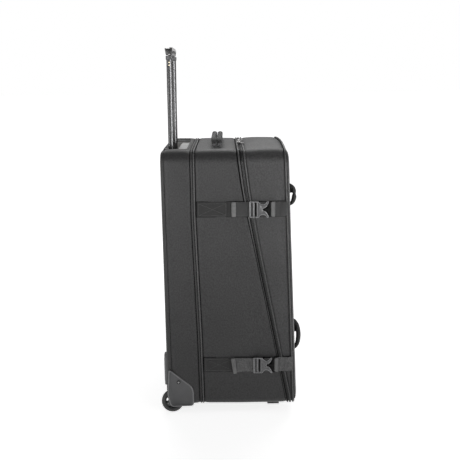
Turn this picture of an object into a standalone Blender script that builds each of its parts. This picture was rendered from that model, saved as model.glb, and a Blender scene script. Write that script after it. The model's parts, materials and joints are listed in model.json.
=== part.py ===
"""Wheeled equipment case with a hinged wedge lid and a telescopic trolley handle.

+X points from the wheels to the lid, +Y across the case, +Z up, floor at z = 0.
All driving dimensions are in millimetres; MM turns them into metres.
"""

import math

import bmesh
import bpy
import numpy as np

MM = 0.001
GAP = 0.3                       # air between pieces that touch

# Case outline, seen along X
HALF_WIDTH = 250.0
TOP_Z = 715.0
BOTTOM_Z = 26.0
TOP_RADIUS = 27.0
BOTTOM_RADIUS = 14.0
WALL = 5.0
SIDE_LEVELS = (100.0, 208.0, 370.0, 535.0, 600.0)

# Profile lines, seen along Y, as x at a height z
BACK_BOTTOM_X, BACK_TOP_X = -181.5, -187.0
BACK_INNER_X = -179.0
BACK_RADIUS = 10.0
FRONT_BOTTOM_X, FRONT_TOP_X = 164.4, 142.5
SEAM_Z = (BOTTOM_Z, 208.0, 535.0, TOP_Z)
SEAM_X = (-88.0, -91.5, -103.0, -104.0)
SPLIT_Z = (BOTTOM_Z, 600.0, TOP_Z)
SPLIT_X = (150.0, 36.3, 21.0)
HINGE_X, HINGE_Z = 150.0, 26.0

# Trim that stands on the case
TAPE_WIDTH, TAPE_PROUD = 9.5, 1.8
SEAM_HALF, SEAM_PROUD = 7.0, 2.3
PANEL_DEPTH = 6.0               # recess of the lid's front face behind the front line

# Trolley
TUBE_Y = 85.0
TUBE_X = -167.0
TUBE_SIZE = (16.0, 22.0)
OUTER_TUBE_WALL = 1.6
TUBE_TOP_Z, TUBE_LOW_Z = 961.0, 615.0
OUTER_TOP_Z, OUTER_LOW_Z = 685.6, 60.0
RECESS_X = (-178.7, -121.0)
RECESS_Y = 186.0
RECESS_FLOOR_Z = 688.0
TRAY_WALL = 2.0
TRAY_TOP_Z = 707.0
COLLAR_TOP_Z = 695.0
COVER_LOW_Z, COVER_TOP_Z = 65.5, 690.0
GRIP_X = (-176.2, -158.6)
GRIP_Z = (962.0, 979.5)
GRIP_HALF_LENGTH = 99.0
BRACKET_LOW_Z = 951.0
BUTTON_SIZE = (8.0, 62.0, 6.0)

# Wheels
WHEEL_X, WHEEL_Y, WHEEL_Z = -170.0, 231.0, 30.1
WHEEL_RADIUS, HUB_RADIUS, WHEEL_WIDTH = 30.0, 21.0, 22.0
AXLE_RADIUS = 3.0
SPOKE_GAPS = 5
BRACKET_X = (-181.0, -127.0)
BRACKET_Y = (212.5, 249.4)
BRACKET_Z = (22.0, 67.0)
CHEEK = 3.6
GUARD_OUTLINE = ((-178, 128), (-116, 78), (-111, 64), (-111, 22), (-174, 20), (-183, 53))

# Carry handles
TOP_HANDLE_X = (-47.6, -33.0)
TOP_HANDLE_HALF_SPAN = 150.0
TOP_HANDLE_AXIS_Z = 722.5
TOP_HANDLE_CROWN_Z = 738.5
FRONT_HANDLES = {"upper": (565.5, 29.0), "lower": (145.0, 44.0)}
FRONT_HANDLE_OFFSET = 10.0      # hinge line in front of the lid's panel
FRONT_HANDLE_REACH = 25.4

# Compression straps: height of the centre, start of the sewn patch, buckle's rear edge
STRAPS = {"upper": (563.0, -94.0, 43.0), "lower": (138.5, -82.0, 51.0)}
STRAP_HALF = 19.5
STRAP_Y = (252.1, 254.3)
BUCKLE_Y = (255.6, 264.4)
BUCKLE_HALF = 21.5
LADDER_LENGTH, HOUSING_LENGTH, PRONG_LENGTH = 19.0, 31.0, 19.0

# Feet
FOOT_X, FOOT_Y = (92.0, 124.0), (140.0, 188.0)

SIDES = (("left", -1), ("right", 1))


def clear_scene():
    for obj in list(bpy.data.objects):
        bpy.data.objects.remove(obj, do_unlink=True)


# ---------------------------------------------------------------- materials

def finish(name, colour, roughness, metallic=0.0):
    material = bpy.data.materials.new(name)
    material.use_nodes = True
    shader = material.node_tree.nodes["Principled BSDF"]
    shader.inputs["Base Color"].default_value = (*colour, 1.0)
    shader.inputs["Roughness"].default_value = roughness
    shader.inputs["Metallic"].default_value = metallic
    return material


def make_finishes():
    return {
        "shell_fabric": finish("shell_fabric", (0.055, 0.054, 0.055), 0.85),
        "binding": finish("binding", (0.045, 0.045, 0.045), 0.7),
        "webbing": finish("webbing", (0.04, 0.04, 0.04), 0.6),
        "zip_tape": finish("zip_tape", (0.03, 0.03, 0.03), 0.75),
        "zip_metal": finish("zip_metal", (0.75, 0.75, 0.75), 0.25, 1.0),
        "buckle_plastic": finish("buckle_plastic", (0.06, 0.06, 0.06), 0.35),
        "moulded_plastic": finish("moulded_plastic", (0.085, 0.085, 0.086), 0.5),
        "recess_plastic": finish("recess_plastic", (0.58, 0.57, 0.56), 0.5),
        "dark_plastic": finish("dark_plastic", (0.03, 0.03, 0.03), 0.4),
        "tube_paint": finish("tube_paint", (0.07, 0.07, 0.07), 0.3, 0.6),
        "tube_aluminium": finish("tube_aluminium", (0.6, 0.6, 0.6), 0.35, 1.0),
        "tyre": finish("tyre", (0.09, 0.09, 0.09), 0.7),
        "screw_steel": finish("screw_steel", (0.2, 0.2, 0.2), 0.4, 1.0),
        "liner_board": finish("liner_board", (0.12, 0.12, 0.12), 0.8),
        "foot_rubber": finish("foot_rubber", (0.03, 0.03, 0.03), 0.8),
    }


# ---------------------------------------------------------------- mesh helpers

def new_object(name, mesh_data, material, origin=(0.0, 0.0, 0.0)):
    """Closes the bmesh into an object whose origin is given in millimetres."""
    bmesh.ops.translate(mesh_data, verts=mesh_data.verts, vec=[-v for v in origin])
    bmesh.ops.scale(mesh_data, verts=mesh_data.verts, vec=(MM, MM, MM))
    bmesh.ops.recalc_face_normals(mesh_data, faces=mesh_data.faces)
    mesh = bpy.data.meshes.new(name)
    mesh_data.to_mesh(mesh)
    mesh_data.free()
    mesh.shade_smooth()
    mesh.set_sharp_from_angle(angle=math.radians(35))
    mesh.materials.append(material)
    obj = bpy.data.objects.new(name, mesh)
    obj.location = [v * MM for v in origin]
    bpy.context.scene.collection.objects.link(obj)
    return obj


def add_box(mesh_data, low, high):
    corners = bmesh.ops.create_cube(mesh_data, size=1.0)["verts"]
    for vert in corners:
        for axis in range(3):
            middle = (low[axis] + high[axis]) / 2
            vert.co[axis] = middle + vert.co[axis] * (high[axis] - low[axis])


def box(name, low, high, material, origin=(0.0, 0.0, 0.0)):
    return boxes(name, [(low, high)], material, origin)


def boxes(name, pairs, material, origin=(0.0, 0.0, 0.0)):
    mesh_data = bmesh.new()
    for low, high in pairs:
        add_box(mesh_data, low, high)
    return new_object(name, mesh_data, material, origin)


def bridge(mesh_data, rings, closed):
    """Quads between successive rings of vertices; closed joins the last to the first."""
    count = len(rings[0])
    following = rings[1:] + ([rings[0]] if closed else [])
    for ring, after in zip(rings, following):
        for i in range(count):
            j = (i + 1) % count
            mesh_data.faces.new((ring[i], ring[j], after[j], after[i]))


def ring_solid(name, rings, material, closed, origin=(0.0, 0.0, 0.0)):
    """Solid through rings of points: a closed loop of rings, or one capped at both ends."""
    mesh_data = bmesh.new()
    loops = [[mesh_data.verts.new(point) for point in ring] for ring in rings]
    bridge(mesh_data, loops, closed)
    if not closed:
        mesh_data.faces.new(loops[0])
        mesh_data.faces.new(loops[-1])
    return new_object(name, mesh_data, material, origin)


def grouped_solids(name, solids, material):
    """One node of separate solids, each given as rings capped at both ends."""
    mesh_data = bmesh.new()
    for rings in solids:
        loops = [[mesh_data.verts.new(point) for point in ring_points] for ring_points in rings]
        bridge(mesh_data, loops, False)
        mesh_data.faces.new(loops[0])
        mesh_data.faces.new(loops[-1])
    return new_object(name, mesh_data, material)


def circle_xz(centre_x, y, centre_z, radius, steps):
    angles = [2 * math.pi * i / steps for i in range(steps)]
    return [(centre_x + radius * math.cos(a), y, centre_z + radius * math.sin(a)) for a in angles]


def extrude_xz(name, outline, y_range, material, origin=(0.0, 0.0, 0.0)):
    rings = [[(x, y, z) for x, z in outline] for y in y_range]
    return ring_solid(name, rings, material, False, origin)


def lathe_y(name, profile, centre, material, origin, steps=32):
    """Turns a closed (radius, y) profile about the line through centre along Y."""
    rings = [circle_xz(centre[0], centre[1] + along, centre[2], radius, steps)
             for radius, along in profile]
    return ring_solid(name, rings, material, True, origin)


def cylinder_y(name, centre, radius, y_range, material, steps=24, origin=(0.0, 0.0, 0.0)):
    rings = [circle_xz(centre[0], y, centre[1], radius, steps) for y in y_range]
    return ring_solid(name, rings, material, False, origin)


def cut(obj, cutter):
    """Boolean difference; the cutter stays as a wire guide."""
    cutter.hide_render = True
    cutter.display_type = "WIRE"
    modifier = obj.modifiers.new("cut_" + cutter.name, "BOOLEAN")
    modifier.operation = "DIFFERENCE"
    modifier.solver = "EXACT"
    modifier.object = cutter


# ---------------------------------------------------------------- case lines

def case_outline(inset, top=TOP_Z, bottom=BOTTOM_Z):
    """(y, z) points round the case, anticlockwise from the lower right corner."""
    half = HALF_WIDTH - inset
    high, low = top - inset, bottom + inset
    r_top = max(TOP_RADIUS - inset, 2.0)
    r_low = max(BOTTOM_RADIUS - inset, 2.0)
    points = []

    def corner(centre_y, centre_z, radius, start, steps=5):
        for i in range(steps + 1):
            angle = math.radians(start + 90 * i / steps)
            points.append((centre_y + radius * math.cos(angle), centre_z + radius * math.sin(angle)))

    corner(half - r_low, low + r_low, r_low, -90)
    points.extend((half, z) for z in SIDE_LEVELS)
    corner(half - r_top, high - r_top, r_top, 0)
    corner(-half + r_top, high - r_top, r_top, 90)
    points.extend((-half, z) for z in reversed(SIDE_LEVELS))
    corner(-half + r_low, low + r_low, r_low, 180)
    return points


def slope(z, bottom_x, top_x):
    return bottom_x + (top_x - bottom_x) * (z - BOTTOM_Z) / (TOP_Z - BOTTOM_Z)


def back_x(z):
    return slope(z, BACK_BOTTOM_X, BACK_TOP_X)


def front_x(z):
    return slope(z, FRONT_BOTTOM_X, FRONT_TOP_X)


def seam_x(z):
    return float(np.interp(z, SEAM_Z, SEAM_X))


def split_x(z):
    return float(np.interp(z, SPLIT_Z, SPLIT_X))


def ring(inset, x_of_z, shift=0.0):
    return [(x_of_z(z) + shift, y, z) for y, z in case_outline(inset)]


def band(name, start, end, proud, depth, material):
    """Ring round the case between two (line, shift) edges, from proud to depth."""
    rings = [ring(-proud, *start), ring(-proud, *end), ring(depth, *end), ring(depth, *start)]
    return ring_solid(name, rings, material, True)


# ---------------------------------------------------------------- case shells

def make_rear_pan(material, cutter_material):
    inner = (lambda z: BACK_INNER_X)
    rings = [
        ring(WALL + 2, inner), ring(WALL, inner, 3.0), ring(WALL, seam_x, -GAP),
        ring(0.0, seam_x, -GAP), ring(0.0, back_x, BACK_RADIUS),
        ring(BACK_RADIUS * 0.3, back_x, BACK_RADIUS * 0.3), ring(BACK_RADIUS, back_x),
    ]
    pan = ring_solid("rear_pan", rings, material, False)
    pocket = ((RECESS_X[0] - GAP, -RECESS_Y - GAP, 680.0), (RECESS_X[1] + GAP, RECESS_Y + GAP, 760.0))
    cutters = [pocket]
    for side in (-1, 1):
        inner_y, outer_y = sorted((side * (BRACKET_Y[0] - GAP), side * (HALF_WIDTH + 20)))
        cutters.append(((-220.0, inner_y, 0.0), (BRACKET_X[1] + GAP, outer_y, BRACKET_Z[1] + GAP)))
    cut(pan, boxes("rear_pan_cutter", cutters, cutter_material))


def make_mid_frame(material):
    band("mid_frame", (seam_x, GAP), (split_x, -GAP), 0.0, WALL, material)


def make_lid_shell(material):
    face = PANEL_DEPTH
    rings = [
        ring(WALL + 4, front_x, -face - WALL), ring(WALL, front_x, -face - WALL - 4),
        ring(WALL, split_x, GAP), ring(0.0, split_x, GAP), ring(0.0, front_x, -16.0),
        ring(1.6, front_x, -9.0), ring(6.0, front_x, -face),
    ]
    # the inner front face would cross the split line at the bottom edge, so it is held back
    rings[0] = [(max(x, split_x(z) + 1.2), y, z) for x, y, z in rings[0]]
    rings[1] = [(max(x, split_x(z) + 0.8), y, z) for x, y, z in rings[1]]
    rings[4] = [(max(x, split_x(z) + 1.0), y, z) for x, y, z in rings[4]]
    rings[5] = [(max(x, split_x(z) + 2.0), y, z) for x, y, z in rings[5]]
    ring_solid("lid_shell", rings, material, False)


def make_lid_front_panel(material):
    rings = [
        ring(14.0, front_x, -PANEL_DEPTH + GAP), ring(14.0, front_x, -1.2),
        ring(17.0, front_x, 0.6), ring(30.0, front_x, 1.0),
    ]
    ring_solid("lid_front_panel", rings, material, False)


def make_lid_piping(material):
    start, end = (front_x, -PANEL_DEPTH + GAP), (front_x, -0.8)
    band("lid_piping", start, end, -7.6, 13.6, material)


def make_seam_binding(material):
    band("seam_binding", (seam_x, -SEAM_HALF), (seam_x, SEAM_HALF), SEAM_PROUD, -GAP, material)


def body_tape_edge(z):
    """Along the split, but cut back under the case where the lid's tape swings past."""
    return split_x(z) - 2.2 * float(np.clip((34.0 - z) / 8.0, 0.0, 1.0))


def make_zip_tapes(material):
    band("body_zip_tape", (split_x, -TAPE_WIDTH), (body_tape_edge, -GAP), TAPE_PROUD, -GAP, material)
    band("lid_zip_tape", (split_x, GAP), (split_x, TAPE_WIDTH), TAPE_PROUD, -GAP, material)


def make_hinge_gusset(material):
    floor = BOTTOM_Z + WALL + GAP
    box("hinge_gusset", (124.0, -232.0, floor), (HINGE_X - 2.4, 232.0, floor + 1.5), material)


def make_trolley_cover(material):
    outline = case_outline(WALL + 1.5, top=COVER_TOP_Z, bottom=COVER_LOW_Z)
    rings = [[(x, y, z) for y, z in outline] for x in (-152.0, -149.0)]
    ring_solid("trolley_cover_panel", rings, material, False)


def make_lid_skids(material):
    outer = ((36, 1.2), (44, 4.0), (56, 4.9), (72, 4.6), (94, 2.6), (112, 1.2))
    outline = [(front_x(z) + stand + 0.4, z) for z, stand in outer]
    outline += [(front_x(z) + 1.0 + GAP, z) for z in (112.4, 35.6)]
    for name, side in SIDES:
        extrude_xz("lid_skid_" + name, outline, sorted((side * 150.0, side * 218.0)), material)


# ---------------------------------------------------------------- trolley

def rounded_rect(centre_x, centre_y, size_x, size_y, radius, steps=4):
    points = []
    for sign_x, sign_y, start in ((1, -1, -90), (1, 1, 0), (-1, 1, 90), (-1, -1, 180)):
        mid_x = centre_x + sign_x * (size_x / 2 - radius)
        mid_y = centre_y + sign_y * (size_y / 2 - radius)
        for i in range(steps + 1):
            angle = math.radians(start + 90 * i / steps)
            points.append((mid_x + radius * math.cos(angle), mid_y + radius * math.sin(angle)))
    return points


def hollow_column(name, centre, outer, inner, radii, z_range, material):
    """Open-ended rectangular sleeve with rounded corners."""
    out = rounded_rect(*centre, *outer, radii[0])
    bore = rounded_rect(*centre, *inner, radii[1])
    low, high = z_range
    rings = [[(x, y, z) for x, y in loop] for loop, z in
             ((out, low), (out, high), (bore, high), (bore, low))]
    return ring_solid(name, rings, material, True)


def make_recess_tray(material, cutter_material):
    high = TRAY_TOP_Z
    tray = box("handle_recess_tray", (RECESS_X[0], -RECESS_Y, RECESS_FLOOR_Z - TRAY_WALL),
               (RECESS_X[1], RECESS_Y, high), material)
    hollow = box("tray_hollow_cutter", (RECESS_X[0] + TRAY_WALL, -RECESS_Y + TRAY_WALL, RECESS_FLOOR_Z),
                 (RECESS_X[1] - TRAY_WALL, RECESS_Y - TRAY_WALL, high + 20), cutter_material)
    cut(tray, hollow)
    half_x, half_y = TUBE_SIZE[0] / 2 + 0.4, TUBE_SIZE[1] / 2 + 0.4
    holes = []
    for _, side in SIDES:
        centre_y = side * TUBE_Y
        holes.append(((TUBE_X - half_x, centre_y - half_y, 670.0),
                      (TUBE_X + half_x, centre_y + half_y, RECESS_FLOOR_Z + 5)))
    cut(tray, boxes("tray_hole_cutter", holes, cutter_material))


def make_collars(material):
    for name, side in SIDES:
        out = rounded_rect(TUBE_X + 3.4, side * TUBE_Y, 25.0, 34.0, 9.0)
        hole = rounded_rect(TUBE_X, side * TUBE_Y, 16.8, 22.8, 4.2)
        low, high = RECESS_FLOOR_Z + GAP, COLLAR_TOP_Z
        rings = [[(x, y, z) for x, y in loop] for loop, z in
                 ((out, low), (out, high), (hole, high), (hole, low))]
        ring_solid("tube_collar_" + name, rings, material, True)


def make_tubes(outer_material, inner_material):
    width, depth = TUBE_SIZE
    bore = (width + 2 * GAP, depth + 2 * GAP)
    outer = (bore[0] + 2 * OUTER_TUBE_WALL, bore[1] + 2 * OUTER_TUBE_WALL)
    for name, side in SIDES:
        centre = (TUBE_X, side * TUBE_Y)
        hollow_column("outer_tube_" + name, centre, outer, bore, (5.6, 4.2),
                      (OUTER_LOW_Z, OUTER_TOP_Z), outer_material)
        hollow_column("inner_tube_" + name, centre, TUBE_SIZE, (width - 3, depth - 3), (4.0, 2.6),
                      (TUBE_LOW_Z, TUBE_TOP_Z), inner_material)
    box("tube_foot", (TUBE_X - 9.5, -TUBE_Y - 18, OUTER_LOW_Z - 22),
        (TUBE_X + 12.0, TUBE_Y + 18, OUTER_LOW_Z - GAP), inner_material)


def make_grip(grip_material, bracket_material, button_material):
    low, high = GRIP_Z
    x0, x1 = GRIP_X
    outline = [(x0 + 2, low), (x1 - 2, low), (x1, low + 3), (x1, high - 4), (x1 - 3, high),
               (x0 + 3, high), (x0, high - 4), (x0, low + 3)]
    grip = extrude_xz("grip", outline, (-GRIP_HALF_LENGTH, GRIP_HALF_LENGTH), grip_material)
    size_x, size_y, size_z = BUTTON_SIZE
    middle = (x0 + x1) / 2
    pocket = box("button_pocket", (middle - size_x / 2 - GAP, -size_y / 2 - GAP, high - 9.5),
                 (middle + size_x / 2 + GAP, size_y / 2 + GAP, high + 10), button_material)
    cut(grip, pocket)
    button_low = high + 1.5 - size_z
    box("release_button", (middle - size_x / 2, -size_y / 2, button_low),
        (middle + size_x / 2, size_y / 2, button_low + size_z), button_material,
        (middle, 0.0, button_low))
    for name, side in SIDES:
        hollow_column("grip_bracket_" + name, (TUBE_X, side * TUBE_Y), (19.0, 26.0), (16.6, 22.6),
                      (5.0, 4.2), (BRACKET_LOW_Z, low - GAP), bracket_material)


# ---------------------------------------------------------------- wheels

def make_wheel(name, side, finishes):
    centre_y = side * WHEEL_Y
    centre = (WHEEL_X, centre_y, WHEEL_Z)
    half = WHEEL_WIDTH / 2
    tyre_profile = ((HUB_RADIUS + GAP, -half + 1), (WHEEL_RADIUS - 4, -half), (WHEEL_RADIUS - 1, -half + 3),
                    (WHEEL_RADIUS, 0), (WHEEL_RADIUS - 1, half - 3), (WHEEL_RADIUS - 4, half),
                    (HUB_RADIUS + GAP, half - 1))
    lathe_y("tyre_" + name, tyre_profile, centre, finishes["tyre"], centre)
    bore = AXLE_RADIUS + GAP
    hub_profile = ((bore, -half + 1), (bore + 4, -half + 1), (bore + 4.5, -half + 3), (HUB_RADIUS - 3, -half + 3),
                   (HUB_RADIUS - 2.5, -half + 1.5), (HUB_RADIUS, -half + 1.5), (HUB_RADIUS, half - 1.5),
                   (HUB_RADIUS - 2.5, half - 1.5), (HUB_RADIUS - 3, half - 3), (bore + 4.5, half - 3),
                   (bore + 4, half - 1), (bore, half - 1))
    hub = lathe_y("hub_" + name, hub_profile, centre, finishes["dark_plastic"], centre)
    holes = []
    for i in range(SPOKE_GAPS):
        angle = 2 * math.pi * i / SPOKE_GAPS
        gap_x, gap_z = WHEEL_X + 13.0 * math.cos(angle), WHEEL_Z + 13.0 * math.sin(angle)
        holes.append([circle_xz(gap_x, y, gap_z, 4.6, 12) for y in (centre_y - 30, centre_y + 30)])
    cut(hub, grouped_solids("hub_cutter_" + name, holes, finishes["dark_plastic"]))


def make_wheel_bracket(name, side, finishes):
    inner_y, outer_y = BRACKET_Y
    low, high = BRACKET_Z
    profile = [(inner_y, low), (inner_y, high), (outer_y, high), (outer_y, low),
               (outer_y - CHEEK, low), (outer_y - CHEEK, high - CHEEK),
               (inner_y + CHEEK, high - CHEEK), (inner_y + CHEEK, low)]
    rings = [[(x, side * y, z) for y, z in profile] for x in BRACKET_X]
    bracket = ring_solid("wheel_bracket_" + name, rings, finishes["moulded_plastic"], False)
    hole = sorted((side * (inner_y - 10), side * (outer_y + 10)))
    cut(bracket, cylinder_y("axle_hole_" + name, (WHEEL_X, WHEEL_Z), AXLE_RADIUS + GAP, hole,
                            finishes["moulded_plastic"], 20))
    span = sorted((side * (inner_y + 0.6), side * (outer_y - 0.4)))
    cylinder_y("axle_" + name, (WHEEL_X, WHEEL_Z), AXLE_RADIUS, span, finishes["screw_steel"], 20)


def make_corner_guard(name, side, finishes):
    inner = side * (HALF_WIDTH + GAP)
    outer = side * (HALF_WIDTH + 4.2)
    centre = np.mean(GUARD_OUTLINE, axis=0)
    bevelled = [tuple(centre + (np.array(point) - centre) * 0.95) for point in GUARD_OUTLINE]
    rings = [[(x, inner, z) for x, z in GUARD_OUTLINE], [(x, outer - side * 1.5, z) for x, z in GUARD_OUTLINE],
             [(x, outer, z) for x, z in bevelled]]
    ring_solid("corner_guard_" + name, rings, finishes["moulded_plastic"], False)


def make_foot(name, side, material):
    y_low, y_high = sorted((side * FOOT_Y[0], side * FOOT_Y[1]))
    box("front_foot_" + name, (FOOT_X[0], y_low, 0.0), (FOOT_X[1], y_high, BOTTOM_Z - GAP), material)


# ---------------------------------------------------------------- carry handles

def strap_loop(name, path, half_width, thickness, frame, material, origin):
    """Flat strap along a path of (along, out) points; frame maps (along, side, out) to xyz."""
    points = np.array(path)
    tangent = np.gradient(points, axis=0)
    tangent /= np.linalg.norm(tangent, axis=1)[:, None]
    rings = []
    for (along, out), (t_along, t_out) in zip(points, tangent):
        corners = []
        for side_sign, out_sign in ((-1, -1), (1, -1), (1, 1), (-1, 1)):
            shift = out_sign * thickness / 2
            corners.append(frame(along - t_out * shift, side_sign * half_width, out + t_along * shift))
        rings.append(corners)
    return ring_solid(name, rings, material, False, origin)


def make_top_handle(finishes):
    span, low, crown = TOP_HANDLE_HALF_SPAN, TOP_HANDLE_AXIS_Z, TOP_HANDLE_CROWN_Z
    for name, centre_x in zip(("rear", "front"), TOP_HANDLE_X):
        path = []
        for i in range(17):
            t = -1 + 2 * i / 16
            path.append((span * math.sin(t * math.pi / 2), low + (crown - low) * (1 - abs(t) ** 4)))
        strap_loop("top_handle_" + name, path, 6.2, 8.0,
                   lambda along, side, out, cx=centre_x: (cx + side, along, out),
                   finishes["webbing"], (centre_x, 0.0, low))


def make_front_handles(finishes):
    lean = (FRONT_BOTTOM_X - FRONT_TOP_X) / (TOP_Z - BOTTOM_Z)
    for name, (centre_z, half) in FRONT_HANDLES.items():
        base_x = front_x(centre_z) + 1.0 + FRONT_HANDLE_OFFSET

        def frame(along, side, out, cz=centre_z, bx=base_x):
            return (bx + out - along * lean, side, cz + along)

        path = []
        for i in range(15):
            angle = math.pi * i / 14
            path.append((-half * math.cos(angle), FRONT_HANDLE_REACH * math.sin(angle) ** 0.8))
        strap_loop("front_handle_" + name, path, 6.5, 6.0, frame, finishes["webbing"],
                   (base_x, 0.0, centre_z))


# ---------------------------------------------------------------- zip sliders

def make_zip_sliders(finishes):
    centre_x = split_x(TOP_Z)
    base = TOP_Z + TAPE_PROUD + 1.6
    for name, side in SIDES:
        middle = side * 14.0
        origin = (centre_x, middle, base)
        box("zip_slider_" + name, (centre_x - 6.0, middle - 9.0, base), (centre_x + 6.0, middle + 9.0, base + 6.0),
            finishes["zip_metal"], origin)
        near, far = side * 25.0, side * 53.0
        y_low, y_high = sorted((near, far))
        box("zip_puller_" + name, (centre_x - 4.0, y_low, base + 1.0), (centre_x + 4.0, y_high, base + 3.4),
            finishes["zip_metal"], (centre_x, near, base + 2.2))


# ---------------------------------------------------------------- straps

def make_body_strap(name, side, level, finishes):
    centre_z, patch_x, buckle_x = STRAPS[level]
    low, high = centre_z - STRAP_HALF, centre_z + STRAP_HALF
    patch_end, ladder_x = patch_x + 80.0, buckle_x + LADDER_LENGTH - 3.0
    surface, inner, outer = (side * (HALF_WIDTH + GAP), side * STRAP_Y[0], side * STRAP_Y[1])
    rings = []
    for z in (low, high):
        rings.append([(patch_x, surface, z), (patch_end, surface, z), (patch_end + 3, inner, z),
                      (ladder_x, inner, z), (ladder_x, outer, z), (patch_x, outer, z)])
    ring_solid("body_strap_" + name, rings, finishes["webbing"], False)


def make_lid_strap(name, side, level, finishes):
    centre_z, _, buckle_x = STRAPS[level]
    start = buckle_x + LADDER_LENGTH + HOUSING_LENGTH + 6.0
    low, high = centre_z - STRAP_HALF, centre_z + STRAP_HALF
    y_low, y_high = sorted((side * STRAP_Y[0], side * STRAP_Y[1]))
    box("lid_strap_" + name, (start, y_low, low), (front_x(centre_z) - 9.0, y_high, high),
        finishes["webbing"])


def make_buckle_female(name, side, level, finishes):
    centre_z, _, x0 = STRAPS[level]
    y_low, y_high = sorted((side * BUCKLE_Y[0], side * BUCKLE_Y[1]))
    x1 = x0 + LADDER_LENGTH + HOUSING_LENGTH
    material = finishes["buckle_plastic"]
    body = box("buckle_female_" + name, (x0, y_low, centre_z - BUCKLE_HALF),
               (x1, y_high, centre_z + BUCKLE_HALF), material)
    slot_half = STRAP_HALF
    cutters = []
    for slot_x in (x0 + 4.0, x0 + 12.0):
        cutters.append(((slot_x, y_low - 5, centre_z - slot_half), (slot_x + 4.0, y_high + 5, centre_z + slot_half)))
    cutters.append(((x0 + LADDER_LENGTH, y_low + 2.0, centre_z - 18.6), (x1 + 10, y_high - 2.0, centre_z + 18.6)))
    cut(body, boxes("buckle_cutter_" + name, cutters, material))


def make_buckle_male(name, side, level, finishes):
    centre_z, _, x0 = STRAPS[level]
    housing_end = x0 + LADDER_LENGTH + HOUSING_LENGTH
    tip = housing_end - PRONG_LENGTH + 3.0
    neck, back = housing_end + 1.0, housing_end + 17.0
    half = [(back, 20.0), (neck, 20.0), (neck, 17.6), (tip, 17.6), (tip, 12.6), (neck, 11.0),
            (neck, 3.0), (tip + 4, 3.0)]
    outline = [(x, centre_z + z) for x, z in half] + [(x, centre_z - z) for x, z in reversed(half)]
    y_range = sorted((side * (BUCKLE_Y[0] + 2.3), side * (BUCKLE_Y[1] - 2.3)))
    extrude_xz("buckle_male_" + name, outline, y_range, finishes["buckle_plastic"])


def make_straps(finishes):
    for level in STRAPS:
        for side_name, side in SIDES:
            name = level + "_" + side_name
            make_body_strap(name, side, level, finishes)
            make_lid_strap(name, side, level, finishes)
            make_buckle_female(name, side, level, finishes)
            make_buckle_male(name, side, level, finishes)


# ---------------------------------------------------------------- assembly

def main():
    clear_scene()
    finishes = make_finishes()
    make_rear_pan(finishes["shell_fabric"], finishes["liner_board"])
    make_mid_frame(finishes["shell_fabric"])
    make_seam_binding(finishes["binding"])
    make_lid_shell(finishes["shell_fabric"])
    make_lid_front_panel(finishes["shell_fabric"])
    make_lid_piping(finishes["binding"])
    make_zip_tapes(finishes["zip_tape"])
    make_hinge_gusset(finishes["zip_tape"])
    make_trolley_cover(finishes["liner_board"])
    make_lid_skids(finishes["moulded_plastic"])
    make_recess_tray(finishes["recess_plastic"], finishes["liner_board"])
    make_collars(finishes["dark_plastic"])
    make_tubes(finishes["tube_aluminium"], finishes["tube_paint"])
    make_grip(finishes["dark_plastic"], finishes["moulded_plastic"], finishes["dark_plastic"])
    for name, side in SIDES:
        make_wheel(name, side, finishes)
        make_wheel_bracket(name, side, finishes)
        make_corner_guard(name, side, finishes)
        make_foot(name, side, finishes["foot_rubber"])
    make_top_handle(finishes)
    make_front_handles(finishes)
    make_zip_sliders(finishes)
    make_straps(finishes)


main()
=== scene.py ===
import json
import math

import bmesh
import bpy
import numpy as np
from mathutils import Matrix, Vector, noise


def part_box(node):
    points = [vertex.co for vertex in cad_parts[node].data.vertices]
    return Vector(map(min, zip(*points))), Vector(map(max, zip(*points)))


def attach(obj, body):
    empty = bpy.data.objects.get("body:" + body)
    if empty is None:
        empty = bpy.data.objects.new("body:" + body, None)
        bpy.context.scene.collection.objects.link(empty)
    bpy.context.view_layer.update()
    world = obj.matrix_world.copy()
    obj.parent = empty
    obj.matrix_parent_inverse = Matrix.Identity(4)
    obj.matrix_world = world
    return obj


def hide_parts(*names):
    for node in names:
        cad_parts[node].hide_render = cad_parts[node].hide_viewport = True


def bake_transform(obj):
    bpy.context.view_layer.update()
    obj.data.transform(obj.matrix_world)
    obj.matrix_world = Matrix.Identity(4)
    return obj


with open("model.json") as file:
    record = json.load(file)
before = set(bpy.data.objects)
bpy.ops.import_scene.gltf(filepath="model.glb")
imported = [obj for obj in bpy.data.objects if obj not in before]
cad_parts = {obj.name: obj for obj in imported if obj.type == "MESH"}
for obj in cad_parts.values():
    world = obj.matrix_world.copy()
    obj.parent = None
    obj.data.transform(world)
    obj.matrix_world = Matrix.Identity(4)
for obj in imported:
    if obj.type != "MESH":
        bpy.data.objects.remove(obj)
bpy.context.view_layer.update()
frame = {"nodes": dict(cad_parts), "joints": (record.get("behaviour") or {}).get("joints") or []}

MM = 0.001
SIDES = (("left", -1), ("right", 1))
# tails and lid straps use lighter copies of the webbing, the lower ones much lighter: painted sheen
STRAP_LOOK = {"upper": "webbing_gloss", "lower": "webbing_shiny"}


def cad(node):
    """Lowest and highest corner of a CAD node, in millimetres."""
    low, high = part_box(node)
    return np.array(low) / MM, np.array(high) / MM


def middle_half(low, high, axis):
    """Middle of a box along an axis, and half of its size there."""
    return (low[axis] + high[axis]) / 2, (high[axis] - low[axis]) / 2


def plan(node):
    """Centre and size of a CAD node seen from above."""
    low, high = cad(node)
    return (low + high)[:2] / 2, (high - low)[:2]


# ---------------------------------------------------------------- sizes from the frame

FRAME_LOW, FRAME_HIGH = cad("mid_frame")
HALF_WIDTH, TOP_Z, BOTTOM_Z = FRAME_HIGH[1], FRAME_HIGH[2], FRAME_LOW[2]
WALL, SEAM_HALF = 5.0, 7.6
TOP_RADIUS, BOTTOM_RADIUS = 33.0, 14.0
HINGE_X = 150.0
BUCKLE_X = {"upper": 43.0, "lower": 51.0}        # each buckle's rear edge

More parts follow.
